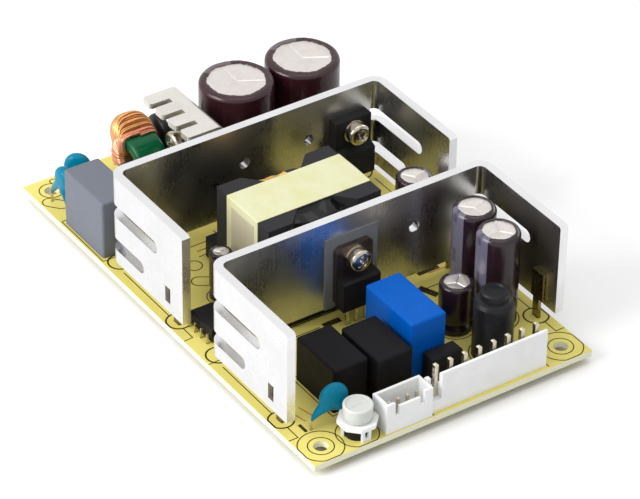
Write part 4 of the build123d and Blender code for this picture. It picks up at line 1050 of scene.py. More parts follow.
@dataclass
class Electrolytic(Part):
    """Electrolytic capacitor: dished and scored can top inside a shrunk sleeve.

    Attributes:
        name: Name of the CAD pair without its ending.
        x: Place along the board.
        y: Place across the board.
        diameter: Outer diameter of the sleeve.
        height: Height over the board.
        sleeve: Finish of the sleeve.
        stripe_angle: Direction in degrees of the stripe's middle.
        vent_angle: Turn in degrees of the scored pattern.
        grooves: Directions in degrees of the scores.
        groove_depth: Depth of a score.
        groove_width: Distance from a score's middle at which it has a third of its depth.
        tilt: Rise of the top midway between two scores.
        dish: Depth of the dished top.
        wall: Thickness of the sleeve.
        lift: Height of the sleeve's lower end over the board.
        lip_share: Radius of the sleeve's opening as a share of the can's.
        bead_height: Height of the bead over the board.
        bead_depth: Depth of the bead.
        columns: Points round the axis.
    """

    name: str
    x: float
    y: float
    diameter: float
    height: float
    sleeve: str
    stripe_angle: float
    vent_angle: float
    grooves: tuple[float, ...] = (90.0, 210.0, 330.0)
    groove_depth: float = 0.17
    groove_width: float = 0.13
    tilt: float = 0.22
    dish: float = 0.16
    wall: float = 0.3
    lift: float = 0.5
    lip_share: float = 0.8
    bead_height: float = 2.6
    bead_depth: float = 0.5
    columns: int = 240

    def build(self) -> None:
        """Builds the top and the sleeve."""
        place = np.array([self.x, self.y, BOARD_TOP])
        top, jacket = Skin(), Skin()
        top.add(self.can_grid() + place)
        jacket.add(self.sleeve_grid() + place, loop=True)
        self.fit(top, self.name + "_top", "capacitor_can", "capacitor_can", self.name + "_can")
        self.fit(jacket, self.name + "_jacket", self.sleeve, self.sleeve, self.name + "_sleeve")

    def can_grid(self) -> Array:
        """Can: side, rounded edge and a top whose sectors tilt up between V-shaped scores.

        Returns:
            Grid of points about the foot of the axis. The height of the top at radius r and
            angle a is a shallow dish, plus a tilt that grows with r and is greatest midway
            between two scores, minus a narrow groove along each score.
        """
        radius = self.diameter / 2 - self.wall - 0.02
        top = self.height - self.wall
        edge = min(1.0, radius * 0.2)
        bead = self.bead_height
        side = np.array([[radius * 0.2, 0.02], [radius * 0.9, 0.02], [radius - 0.5, 0.3],
                         [radius - 0.5, bead + 0.6], [radius - 0.1, bead + 1.4],
                         [radius, top - edge - 0.6]])
        inner = np.linspace(radius - edge, 0.05, 34)[1:]
        flat = np.stack([inner, np.full_like(inner, top)], axis=1)
        grid = lathe(np.vstack([side, rounded(radius, top, edge, 8), flat]), self.columns)
        reach = np.hypot(grid[..., 0], grid[..., 1])
        angle = np.arctan2(grid[..., 1], grid[..., 0])
        rows = slice(-len(inner), None)
        share = reach[rows] / (radius - edge)
        offset = angle[rows] - radians(self.vent_angle + self.grooves[0])
        wave = np.abs(np.sin(offset * len(self.grooves) / 2))
        drop = self.dish * (1 - share ** 2) + 0.05 - self.tilt * wave * np.clip(share, 0, 0.8)
        fade = np.clip((0.88 - share) / 0.05, 0, 1)
        for groove in self.grooves:
            turned = angle[rows] - radians(self.vent_angle + groove)
            away = reach[rows] * np.sin(turned) / self.groove_width
            ahead = np.clip(reach[rows] * np.cos(turned) / 0.4, 0, 1)
            drop = drop + self.groove_depth * np.exp(-away ** 2) * ahead * fade
        grid[rows, :, 2] -= np.maximum(drop, 0.0)
        return grid

    def sleeve_grid(self) -> Array:
        """Sleeve: outer wall with its bead, a rolled shoulder, and a puckered lip on the can.

        Returns:
            Closed grid of points about the foot of the axis. The radius carries a ripple of a few
            hundredths of a millimetre that grows towards the lip, and the lip's edge wanders.
        """
        outer = self.diameter / 2
        inner = outer - self.wall
        top = self.height
        edge = min(1.0, inner * 0.2) + self.wall
        lip = inner * self.lip_share
        depth, bead = self.bead_depth, self.bead_height
        profile = np.vstack([
            [[inner + 0.01, self.lift], [outer, self.lift], [outer, bead - 1.3],
             [outer - 0.1, bead - 0.8], [outer - depth, bead], [outer - 0.1, bead + 0.8],
             [outer, bead + 1.3], [outer, (bead + top) / 2], [outer, top - edge - 0.8]],
            rounded(outer, top, edge, 9),
            [[(lip + outer - edge) / 2, top - 0.02], [lip + 0.08, top - 0.04],
             [lip, top - 0.12], [lip, top - self.wall + 0.01],
             [inner - edge * 0.7, top - self.wall + 0.01], [inner, top - edge],
             [inner - 0.1, bead + 1.4], [inner - depth + 0.12, bead]]])
        grid = lathe(profile, self.columns, radians(self.stripe_angle))
        angle = np.arctan2(grid[..., 1], grid[..., 0])
        reach = np.hypot(grid[..., 0], grid[..., 1])
        near_lip = np.clip((outer - reach) / (outer - lip), 0, 1) * (grid[..., 2] > top - edge)
        ripple = (np.sin(7 * angle) + 0.4 * np.sin(17 * angle + self.x)
                  + 0.35 * np.sin(29 * angle + 2.1))
        wander = 1 - 0.018 * ripple * near_lip
        grid[..., :2] *= wander[..., None]
        grid[..., 2] -= 0.03 * np.abs(np.sin(23 * angle + 1.0)) * near_lip
        return grid


@dataclass
class ChokeWinding(Part):
    """One winding of the choke, as a single wire carried round the ring's section.

    Attributes:
        number: Number of the winding.
        finish: Finish of the wire.
        start: First angle in degrees from +X towards +Z.
        sweep: Angle in degrees that the turns cover.
        turns: Turns in one layer.
        layers: Layers of turns.
        wire: Radius of the wire.
        bulge: How far the middle turns stand out beyond their layer.
        front: Share of the build-up on the ring's flat faces that the -Y face gets.
        centre: Middle of the ring over the board's top.
        outer_radius: Outer radius of the coated ring.
        inner_radius: Radius of its hole.
        thickness: Thickness of the ring.
        points_a_turn: Points on each turn of the wire.
        stand_off: Gap between the ring and the first layer.
        layer_rise: Distance between layers in radii of the wire.
        narrowing: Share of the sweep by which each layer is narrower than the one below.
        disorder: Shift of a turn along the sweep, in turns.
        fullest: Most that the layers add on a flat face.
        square: Power that gives the first layer its nearly square corners.
        rounding: Growth of that power from layer to layer.
    """

    number: int
    finish: str
    start: float
    sweep: float
    turns: int
    layers: int
    wire: float
    bulge: float = 0.0
    front: float = 1.0
    centre: tuple[float, float, float] = (-45.3, -15.1, 10.2)
    outer_radius: float = 6.3
    inner_radius: float = 3.3
    thickness: float = 8.0
    points_a_turn: int = 36
    stand_off: float = 0.1
    layer_rise: float = 1.75
    narrowing: float = 0.07
    disorder: float = 0.28
    fullest: float = 1.35
    square: float = 0.42
    rounding: float = 0.045

    def build(self) -> None:
        """Builds the wire."""
        path, up = self.route()
        skin = Skin()
        skin.add(tube(path, self.wire, 8, up))
        self.fit(skin, f"choke_wire_{self.number}", self.finish, "enamelled_copper",
                 f"choke_winding_{self.number}", 60.0)

    def route(self) -> tuple[Array, Array]:
        """Line of the wire.

        Returns:
            Points of the line and the outward direction at each. Turn t goes once round a
            rounded rectangle, the ring's section grown by the layer's offset, while its plane
            turns about the ring's axis to and fro over the winding's sweep.
        """
        total = self.turns * self.layers
        t = np.linspace(0, total, total * self.points_a_turn)
        layer = t / self.turns
        level = np.floor(np.minimum(layer, self.layers - 1e-6))
        within = layer - level
        step = level + np.clip((within - 0.94) / 0.06, 0, 1) * (level < self.layers - 1)
        to_and_fro = np.where(level % 2 == 0, within, 1 - within)
        wobble = np.sin(3.7 * np.floor(t) + 0.4) * np.sin(pi * (t % 1.0))
        share = (0.5 + (to_and_fro - 0.5) * (1 - self.narrowing * step)
                 + self.disorder / self.turns * wobble)
        share = np.clip(share, 0, 1)
        angle = radians(self.start) + radians(self.sweep) * (0.03 + 0.94 * share)
        c, s = np.cos(2 * pi * t), np.sin(2 * pi * t)
        power = self.square + self.rounding * step
        radial = np.sign(c) * np.abs(c) ** power
        axial = np.sign(s) * np.abs(s) ** power
        middle = (self.outer_radius + self.inner_radius) / 2
        half_ring = (self.outer_radius - self.inner_radius) / 2
        grow = self.wire + self.stand_off + step * self.wire * self.layer_rise
        out = half_ring + grow + self.bulge * np.sin(pi * share)
        into = half_ring + np.minimum(grow, 1.0)
        reach = middle + np.where(radial > 0, out, into) * radial
        build_up = self.fullest * (1 - np.exp(-grow / 1.1)) * np.where(axial < 0, self.front, 1.0)
        y = (self.thickness / 2 + build_up) * axial
        path = np.stack([reach * np.cos(angle), y, reach * np.sin(angle)], axis=-1)
        outward = np.stack([np.sin(angle), 0 * angle, -np.cos(angle)], axis=-1)
        return path + self.centre + (0, 0, BOARD_TOP), outward


@dataclass
class CeramicDisc(Part):
    """Dipped ceramic disc on edge, whose coating is drawn down along its leads.

    Attributes:
        name: Name of the CAD node it replaces.
        x: Place of the middle between the leads along the board.
        y: Place of the middle between the leads across the board.
        z: Height of the disc's centre over the board.
        radius: Radius of the disc.
        thickness: Thickness of the disc.
        turn: Turn in degrees of the disc's plane from the X axis.
        pitch: Distance between the leads.
        lean: Shift of the disc along its own plane.
        finish: Finish of the coating.
        skirt_end: Height over the board where the coating ends on the leads.
        flare: Angle in radians over which a tail widens into the disc.
        bow: How far the middle of a tail stands outward.
        tail_power: Power of the angle with which a tail widens.
        fullness: Power of the sine that the section follows; less is squarer.
        thinning: Share of the thickness that a tail loses at its end.
    """

    name: str
    x: float
    y: float
    z: float
    radius: float
    thickness: float
    turn: float
    pitch: float
    lean: float
    finish: str = "blue_dip"
    skirt_end: float = 2.0
    flare: float = 0.17
    bow: float = 0.6
    tail_power: float = 1.05
    fullness: float = 0.55
    thinning: float = 0.55

    def build(self) -> None:
        """Builds the whole coating."""
        skin = Skin()
        skin.add(self.turned(self.coating()))
        self.fit(skin, self.name + "_coating", self.finish, self.finish, self.name, 70.0)

    def turned(self, grid: Array) -> Array:
        """Grid moved from the disc's own axes to its place on the board."""
        c, s = cos(radians(self.turn)), sin(radians(self.turn))
        x, y, z = grid[..., 0] + self.lean, grid[..., 1], grid[..., 2]
        place = np.array([self.x, self.y, BOARD_TOP + self.z])
        return np.stack([c * x - s * y, s * x + c * y, z], axis=-1) + place

    def coating(self) -> Array:
        """Lens whose outline runs out into a tail over each lead.

        Returns:
            Grid of points. The outline's radius is the disc's, plus a peak towards each lead
            that falls off as a power of the angle from it. From pole to pole the distance from
            the axis follows a sine to a low power, and the tails thin out towards their ends.
        """
        drop = self.z - self.skirt_end
        feet = np.array([-self.pitch / 2 - self.lean, self.pitch / 2 - self.lean])
        length = np.hypot(feet, drop)
        heading = np.arctan2(-drop, feet)
        turn = np.linspace(0, 2 * pi, 480, endpoint=False)
        swing = np.abs((turn[:, None] - heading + pi) % (2 * pi) - pi)
        peak = (length - self.radius) * np.exp(-(swing / self.flare) ** self.tail_power)
        outline = self.radius + peak.max(axis=1)
        across = np.linspace(0.02, pi - 0.02, 26)
        distance = np.sin(across)[:, None] ** self.fullness * outline
        past = np.clip((distance - self.radius) / (length.max() - self.radius), 0, 1)
        half = self.thickness / 2 * np.sign(np.cos(across)) * np.abs(np.cos(across)) ** 0.8
        x = distance * np.cos(turn) + self.bow * np.sign(np.cos(turn)) * np.sin(pi * past)
        y = half[:, None] * (1 - self.thinning * past ** 0.7)
        return np.stack([x, y, distance * np.sin(turn)], axis=-1)


@dataclass
class MachineScrew:
    """Pan-head screw with a cross recess, whose thread comes out behind the plate.

    Attributes:
        seat: Where the head seats on its washers, over the board's top.
        facing: Direction in degrees about Z that the head looks.
        tail: Length from the seat to the end of the thread.
        recess_turn: Turn in degrees of the cross.
        head_radius: Radius of the head.
        head_height: Height of the head.
        head_edge: Width of the head's rounded rim.
        head_bevel: Width of the bevel under the head.
        shaft_radius: Outer radius of the thread.
        pitch: Pitch of the thread.
        thread_depth: Depth of the thread.
        arm_half: Half the width of an arm of the cross at its top.
        arm_reach: Length of an arm from the middle.
        wall: Width of the slope at the side of an arm.
        end_wall: Length of the slope at the end of an arm.
    """

    seat: tuple[float, float, float]
    facing: float
    tail: float
    recess_turn: float
    head_radius: float = 2.8
    head_height: float = 2.2
    head_edge: float = 1.1
    head_bevel: float = 0.12
    shaft_radius: float = 1.5
    pitch: float = 0.5
    thread_depth: float = 0.22
    arm_half: float = 0.42
    arm_reach: float = 1.55
    wall: float = 0.14
    end_wall: float = 0.35

    def grids(self) -> list[Array]:
        """Grids of the head and the shaft, in place."""
        turn = radians(self.facing)
        c, s = cos(turn), sin(turn)
        seat = np.array(self.seat) + (0, 0, BOARD_TOP)
        placed = []
        for grid in (self.head(), self.shaft()):
            side, rise, out = np.moveaxis(grid, -1, 0)
            placed.append(np.stack([c * out - s * side, s * out + c * side, rise], axis=-1) + seat)
        return placed

    def arm(self, along: Array, across: Array) -> Array:
        """Depth from 0 to 1 of one bar of the cross, at places along and across it."""
        return (np.clip((self.arm_half - np.abs(across)) / self.wall, 0, 1)
                * np.clip((self.arm_reach - np.abs(along)) / self.end_wall, 0, 1))

    def head(self) -> Array:
        """Domed head whose cross recess sinks along two crossed bars, with sloping walls."""
        radius, height = self.head_radius, self.head_height
        crown = radius - self.head_edge
        turn = np.linspace(0, pi / 2, 10)
        rim = np.stack([crown + self.head_edge * np.cos(turn),
                        height * (0.55 + 0.33 * np.sin(turn))], axis=1)
        inner = np.linspace(crown, 0.02, 22)[1:]
        dome = np.stack([inner, height * (1 - 0.12 * (inner / crown) ** 2)], axis=1)
        foot = [[0.3, 0.0], [radius - self.head_bevel, 0.0], [radius, self.head_bevel]]
        grid = lathe(np.vstack([foot, rim, dome]), 96)
        c, s = cos(radians(self.recess_turn)), sin(radians(self.recess_turn))
        x = grid[..., 0] * c + grid[..., 1] * s
        y = grid[..., 1] * c - grid[..., 0] * s
        deep = np.clip(1.5 - 0.5 * np.hypot(x, y), 0.5, 1.5)
        sunk = np.maximum(self.arm(x, y), self.arm(y, x)) * deep
        grid[..., 2] -= np.where(grid[..., 2] > height * 0.7, sunk, 0)
        return grid

    def shaft(self) -> Array:
        """Thread: the radius falls and rises once a pitch along a helix."""
        along = np.linspace(0.05, -self.tail, 14 * int(self.tail / self.pitch))
        turn = np.linspace(0, 2 * pi, 28, endpoint=False)
        phase = (along[:, None] / self.pitch + turn[None, :] / (2 * pi)) % 1.0
        depth = self.thread_depth * (1 - np.abs(2 * phase - 1))
        taper = np.clip((along + self.tail) / 0.3, 0, 1)[:, None] * 0.25 + 0.75
        reach = (self.shaft_radius - depth) * taper
        return np.stack([reach * np.cos(turn), reach * np.sin(turn),
                         np.repeat(along[:, None], len(turn), axis=1)], axis=-1)


@dataclass
class FixingScrews(Part):
    """The three screws that clamp the flat devices, as one piece.

    Attributes:
        screws: Seat, facing, tail and recess turn of each screw.
    """

    screws: tuple[tuple[tuple[float, float, float], float, float, float], ...] = (
        ((-16.7, 27.6, 18.3), 0.0, 8.2, 22.0),
        ((25.0, -0.6, 17.8), 0.0, 7.1, 35.0),
        ((-37.0, -10.3, 18.2), -90.0, 7.4, 10.0))

    def build(self) -> None:
        """Builds the three screws."""
        skin = Skin()
        for screw in self.screws:
            for grid in MachineScrew(*screw).grids():
                skin.add(grid)
        self.fit(skin, "device_screws", "nickel_steel", "nickel_steel", "fixing_screws", 30.0)


@dataclass
class TransformerDressing(Part):
    """Tape, bare label, wrinkled winding cover and amber tape of the transformer.

    Attributes:
        x: Centre along the board.
        y: Centre across the board.
        length: Length of the core across the board.
        height: Height of the core.
        bottom: Height of the core's underside over the board.
        tape_width: Width of the outer tape.
        tape_lift: Least distance of the tape's face from the core.
        tape_most: Most distance of it.
        winding_radius: Radius of the winding's cover.
        winding_height: Height of the cover.
        label_half: Half the width and half the height of the label.
        label_shift: Place of its middle from the core's, along the board and upwards.
        label_depth: Distance of its back and of its face from the core's end.
        drape_half: Half the length of a drape across the board.
        drape_thickness: Thickness of a drape.
        drape_tuck: How far a drape's top lies inside the edge of the outer tape.
        drape_sink: How far it lies below the core's top.
        drape_radius: Radius of the winding under the drapes.
        drape_foot: Height of the drapes' foot from the core's middle.
        drape_down: Places down a drape where its section bends.
        drape_out: Shares of the way out that it has there.
        drape_fall: Shares of the fall that it has there.
        amber_along: Where the amber tape begins and ends across the board.
        amber_down: Where it begins and ends down the drape.
        amber_lift: How far its back and its face stand off the drape.
    """

    x: float = 1.9
    y: float = -1.4
    length: float = 31.0
    height: float = 20.2
    bottom: float = 3.8
    tape_width: float = 12.9
    tape_lift: float = 0.2
    tape_most: float = 0.25
    winding_radius: float = 13.0
    winding_height: float = 9.2
    label_half: tuple[float, float] = (4.7, 8.6)
    label_shift: tuple[float, float] = (0.3, -0.5)
    label_depth: tuple[float, float] = (0.2, 0.27)
    drape_half: float = 9.2
    drape_thickness: float = 0.45
    drape_tuck: float = 0.1
    drape_sink: float = 0.15
    drape_radius: float = 13.25
    drape_foot: float = -3.0
    drape_down: tuple[float, ...] = (0.0, 0.36, 0.7, 1.0)
    drape_out: tuple[float, ...] = (0.0, 0.58, 0.93, 1.0)
    drape_fall: tuple[float, ...] = (0.0, 0.12, 0.45, 1.0)
    amber_along: tuple[float, float] = (-6.7, 2.4)
    amber_down: tuple[float, float] = (0.04, 0.46)
    amber_lift: tuple[float, float] = (0.02, 0.14)

    def build(self) -> None:
        """Builds all five pieces."""
        self.tape()
        self.label()
        self.winding()
        self.drapes()
        self.amber()

    def loop_path(self, corner: float, count: int) -> tuple[Array, Array]:
        """Line round the core in the YZ plane, with rounded corners.

        Args:
            corner: Radius of the corners.
            count: Points wanted.

        Returns:
            Points (y, z) about the middle of the core and the outward direction at each.
        """
        half = np.array([self.length / 2 - corner, self.height / 2 - corner])
        turn = np.linspace(0, pi / 2, 7)
        parts, outward = [], []
        for quarter, side in enumerate(((1, 1), (-1, 1), (-1, -1), (1, -1))):
            angle = turn + quarter * pi / 2
            away = np.stack([np.cos(angle), np.sin(angle)], axis=-1)
            parts.append(half * side + corner * away)
            outward.append(away)
        corners, away = np.vstack(parts), np.vstack(outward)
        span = np.linspace(0, len(corners), count, endpoint=False)
        low = span.astype(int)
        blend = (span - low)[:, None]
        high = (low + 1) % len(corners)
        line = corners[low] * (1 - blend) + corners[high] * blend
        normal = away[low] * (1 - blend) + away[high] * blend
        return line, unit(normal)

    def tape(self) -> None:
        """Outer tape: a closed band whose face swells by a few hundredths of a millimetre."""
        line, normal = self.loop_path(0.05, 224)
        across = np.linspace(-1, 1, 26)
        half = self.tape_width / 2
        y, z = line[:, 0, None], line[:, 1, None]
        swell = self.tape_lift + (self.tape_most - self.tape_lift) * (
            np.cos(across * pi / 2) * np.sin(y * 0.31 + across * 2.1) ** 2)
        swell = np.minimum(swell * (1 - 0.25 * np.abs(across) ** 8), self.tape_most)
        outer = np.stack([across * half + 0 * y, y + normal[:, 0, None] * swell,
                          z + normal[:, 1, None] * swell], axis=-1)
        inner = np.stack([across[::-1] * half + 0 * y, y + 0 * across, z + 0 * across], axis=-1)
        grid = np.concatenate([outer, inner], axis=1) + self.middle()
        skin = Skin()
        skin.add(grid, loop=True)
        self.fit(skin, "transformer_tape_wrap", "yellow_tape", "yellow_tape",
                 "transformer_tape", 50.0)

    def middle(self) -> Array:
        """Middle of the core in the row frame."""
        return np.array([self.x, self.y, BOARD_TOP + self.bottom + self.height / 2])

    def label(self) -> None:
        """Bare label on the tape's end face: it ripples slightly and curls off at its top."""
        u, v = np.meshgrid(np.linspace(-1, 1, 24), np.linspace(-1, 1, 28), indexing="ij")
        back_depth, face_depth = self.label_depth
        lift = (face_depth + 0.02 * np.sin(3 * u + 1) * np.sin(4 * v)
                + 0.05 * np.clip(v - 0.9, 0, 1))
        x = u * self.label_half[0] + self.label_shift[0]
        z = v * self.label_half[1] + self.label_shift[1]
        face, back = (np.stack([x, -self.length / 2 - depth, z], axis=-1)
                      for depth in (lift, np.full_like(lift, back_depth)))
        self.sheet("transformer_label", [(face, back)], "label_paper", "yellow_tape", 38.0)

    def sheet(self, name: str, sides: list[tuple[Array, Array]], finish: str, slot: str,
              sharp: float) -> None:
        """Makes one piece of thin sheets, each from its face and its back.

        Args:
            name: Name of the piece.
            sides: Face and back of each sheet, about the middle of the core.
            finish: Name of its finish.
            slot: The record's slot that it takes its finish from.
            sharp: Angle in degrees from which an edge stays sharp.
        """
        skin = Skin()
        for face, back in sides:
            skin.add(np.concatenate([face, back[:, ::-1]], axis=1) + self.middle())
        self.fit(skin, name, finish, slot, sharp=sharp)

    def winding(self) -> None:
        """Cover of the winding: a drum whose wall is drawn in by sharp slanting creases."""
        turn = np.linspace(0, 2 * pi, 240, endpoint=False)
        rise = np.linspace(-1, 1, 40)
        angle, level = np.meshgrid(turn, rise, indexing="xy")
        crease = np.abs(np.sin(4.5 * angle + 2.6 * level)) ** 0.7
        fold = np.abs(np.sin(9.0 * angle - 4.2 * level + 1.3 * np.sin(2 * angle)))
        band_in = 0.5 * np.clip(np.abs(level) - 0.72, 0, 1)
        reach = self.winding_radius - 0.75 * (1 - crease) - 0.35 * (1 - fold) - band_in
        half = self.winding_height / 2
        grid = np.stack([reach * np.cos(angle), reach * np.sin(angle), level * half], axis=-1)
        skin = Skin()
        skin.add(grid + self.middle())
        self.fit(skin, "transformer_winding_cover", "winding_tape", "winding_tape",
                 "transformer_winding", 46.0)

    def drape_grid(self, side: int, y: Array, share: Array, lift: float) -> Array:
        """Creased tape that hangs from the top of the core's waist out over the winding.

        Args:
            side: -1 or 1, the side along X.
            y: Places across the board from the middle of the core.
            share: Places down the drape, 0 at its top inner edge and 1 at its foot.
            lift: Distance by which it stands off the drape's own face.

        Returns:
            Grid of points about the middle of the core. Its section is a line of three straight
            stretches, ever steeper, drawn in by a slanting triangle wave, which gives flat
            facets between straight ridges.
        """
        along, down = np.meshgrid(y, share, indexing="ij")
        inner = self.tape_width / 2 - self.drape_tuck
        outer = np.sqrt(self.drape_radius ** 2 - along ** 2)
        slow = 2 * np.abs((along / 9.0 + 0.3 * side) % 2 - 1) - 1
        slant = down + 0.4 * slow * (1 - down) * down
        out = np.interp(slant, self.drape_down, self.drape_out)
        fall = np.interp(slant, self.drape_down, self.drape_fall)
        ridge = np.abs((along / 4.6 + 1.1 * down + 0.4 * side) % 2 - 1)
        small = np.abs((along / 2.3 - 1.7 * down) % 2 - 1)
        sunk = (0.75 * ridge + 0.3 * small) * np.clip(down / 0.1, 0, 1) - lift
        top = self.height / 2 - self.drape_sink
        x = inner + (outer - inner) * out - sunk * (0.25 + 0.65 * down)
        z = top - (top - self.drape_foot) * fall - sunk * (0.9 - 0.6 * down)
        return np.stack([side * x, along, z], axis=-1)

    def drapes(self) -> None:
        """Both drapes, one each side of the waist."""
        y = np.linspace(-self.drape_half, self.drape_half, 161)
        share = np.linspace(0, 1, 81)
        sides = [(self.drape_grid(side, y, share, 0.0),
                  self.drape_grid(side, y, share, -self.drape_thickness)) for side in (-1, 1)]
        self.sheet("transformer_drapes", sides, "winding_tape", "winding_tape", 9.0)

    def amber(self) -> None:
        """Amber tape that shows on the drape on the side of the mains filter."""
        y, share = np.linspace(*self.amber_along, 60), np.linspace(*self.amber_down, 20)
        back, face = (self.drape_grid(-1, y, share, lift) for lift in self.amber_lift)
        self.sheet("transformer_amber_tape", [(face, back)], "amber_tape", "winding_tape", 40.0)


@dataclass
class AdjustingKnob(Part):
    """Milky knob of the adjuster: slightly dished top with a faint mark across it.

    Attributes:
        x: Place along the board.
        y: Place across the board.
        low: Height of its underside over the board.
        high: Height of its top over the board.
        radius: Radius of its wall.
        spindle_low: Height of the spindle's foot over the board.
        spindle_radius: Radius of the spindle.
        edge: Radius of the rounded rim.
        draft: How much narrower the wall is at its foot.
        bevel: Width of the bevel under the wall.
        dish: Depth of the dished top.
        bar_depth: Depth of the bar across it.
        bar_half: Half the width of the bar.
        bar_reach: Half the length of the bar.
    """

    x: float = 59.0
    y: float = -23.7
    low: float = 4.72
    high: float = 8.35
    radius: float = 3.45
    spindle_low: float = 3.75
    spindle_radius: float = 1.45
    edge: float = 0.35
    draft: float = 0.08
    bevel: float = 0.12
    dish: float = 0.25
    bar_depth: float = 0.18
    bar_half: float = 0.26
    bar_reach: float = 1.9

    def build(self) -> None:
        """Builds the knob with its spindle."""
        skin = Skin()
        skin.add(self.grid() + np.array([self.x, self.y, BOARD_TOP]))
        self.fit(skin, "adjuster_knob", "clear_grey_plastic", "clear_grey_plastic",
                 "trimmer_knob", 50.0, Body.KNOB)

    def grid(self) -> Array:
        """Turned profile whose top sinks along a short bar.

        Returns:
            Grid of points. The bar's depth falls off as a bell curve across it and is cut
            smoothly at both ends.
        """
        flat_radius = self.radius - self.edge
        inner = np.linspace(flat_radius, 0.02, 46)[1:]
        flat = np.stack([inner, np.full_like(inner, self.high)], axis=1)
        wall = self.radius - self.draft
        foot = np.array([[self.spindle_radius * 0.5, self.spindle_low],
                         [self.spindle_radius, self.spindle_low], [self.spindle_radius, self.low],
                         [wall - self.bevel, self.low], [wall, self.low + self.bevel],
                         [wall + self.draft / 2, (self.low + self.high) / 2]])
        rim = rounded(self.radius, self.high, self.edge, 8)
        grid = lathe(np.vstack([foot, rim, flat]), 144)
        rows = slice(-len(inner), None)
        x, y = grid[rows, :, 0], grid[rows, :, 1]
        dished = np.clip((0.93 - np.hypot(x, y) / flat_radius) / 0.08, 0, 1)
        bar = np.exp(-(x / self.bar_half) ** 2) * np.clip((self.bar_reach - np.abs(y)) / 0.4, 0, 1)
        grid[rows, :, 2] -= self.dish * dished + self.bar_depth * bar
        return grid


@dataclass(frozen=True)
class AreaLamp:
    """Soft rectangular lamp.

    Attributes:
        name: Name of the lamp.
        place: Where it hangs, in metres.
        size: Width and height in metres.
        power: Power in watts.
    """

    name: str
    place: tuple[float, float, float]
    size: tuple[float, float]
    power: float

    def build(self, aim: Vector) -> None:
        """Hangs the lamp and turns it towards a point."""
        data = bpy.data.lights.new(self.name, "AREA")
        data.shape = "RECTANGLE"
        data.size, data.size_y = self.size
        data.energy = self.power
        lamp = bpy.data.objects.new(self.name, data)
        bpy.context.collection.objects.link(lamp)
        lamp.location = self.place
        lamp.rotation_euler = (aim - Vector(self.place)).to_track_quat("-Z", "Y").to_euler()


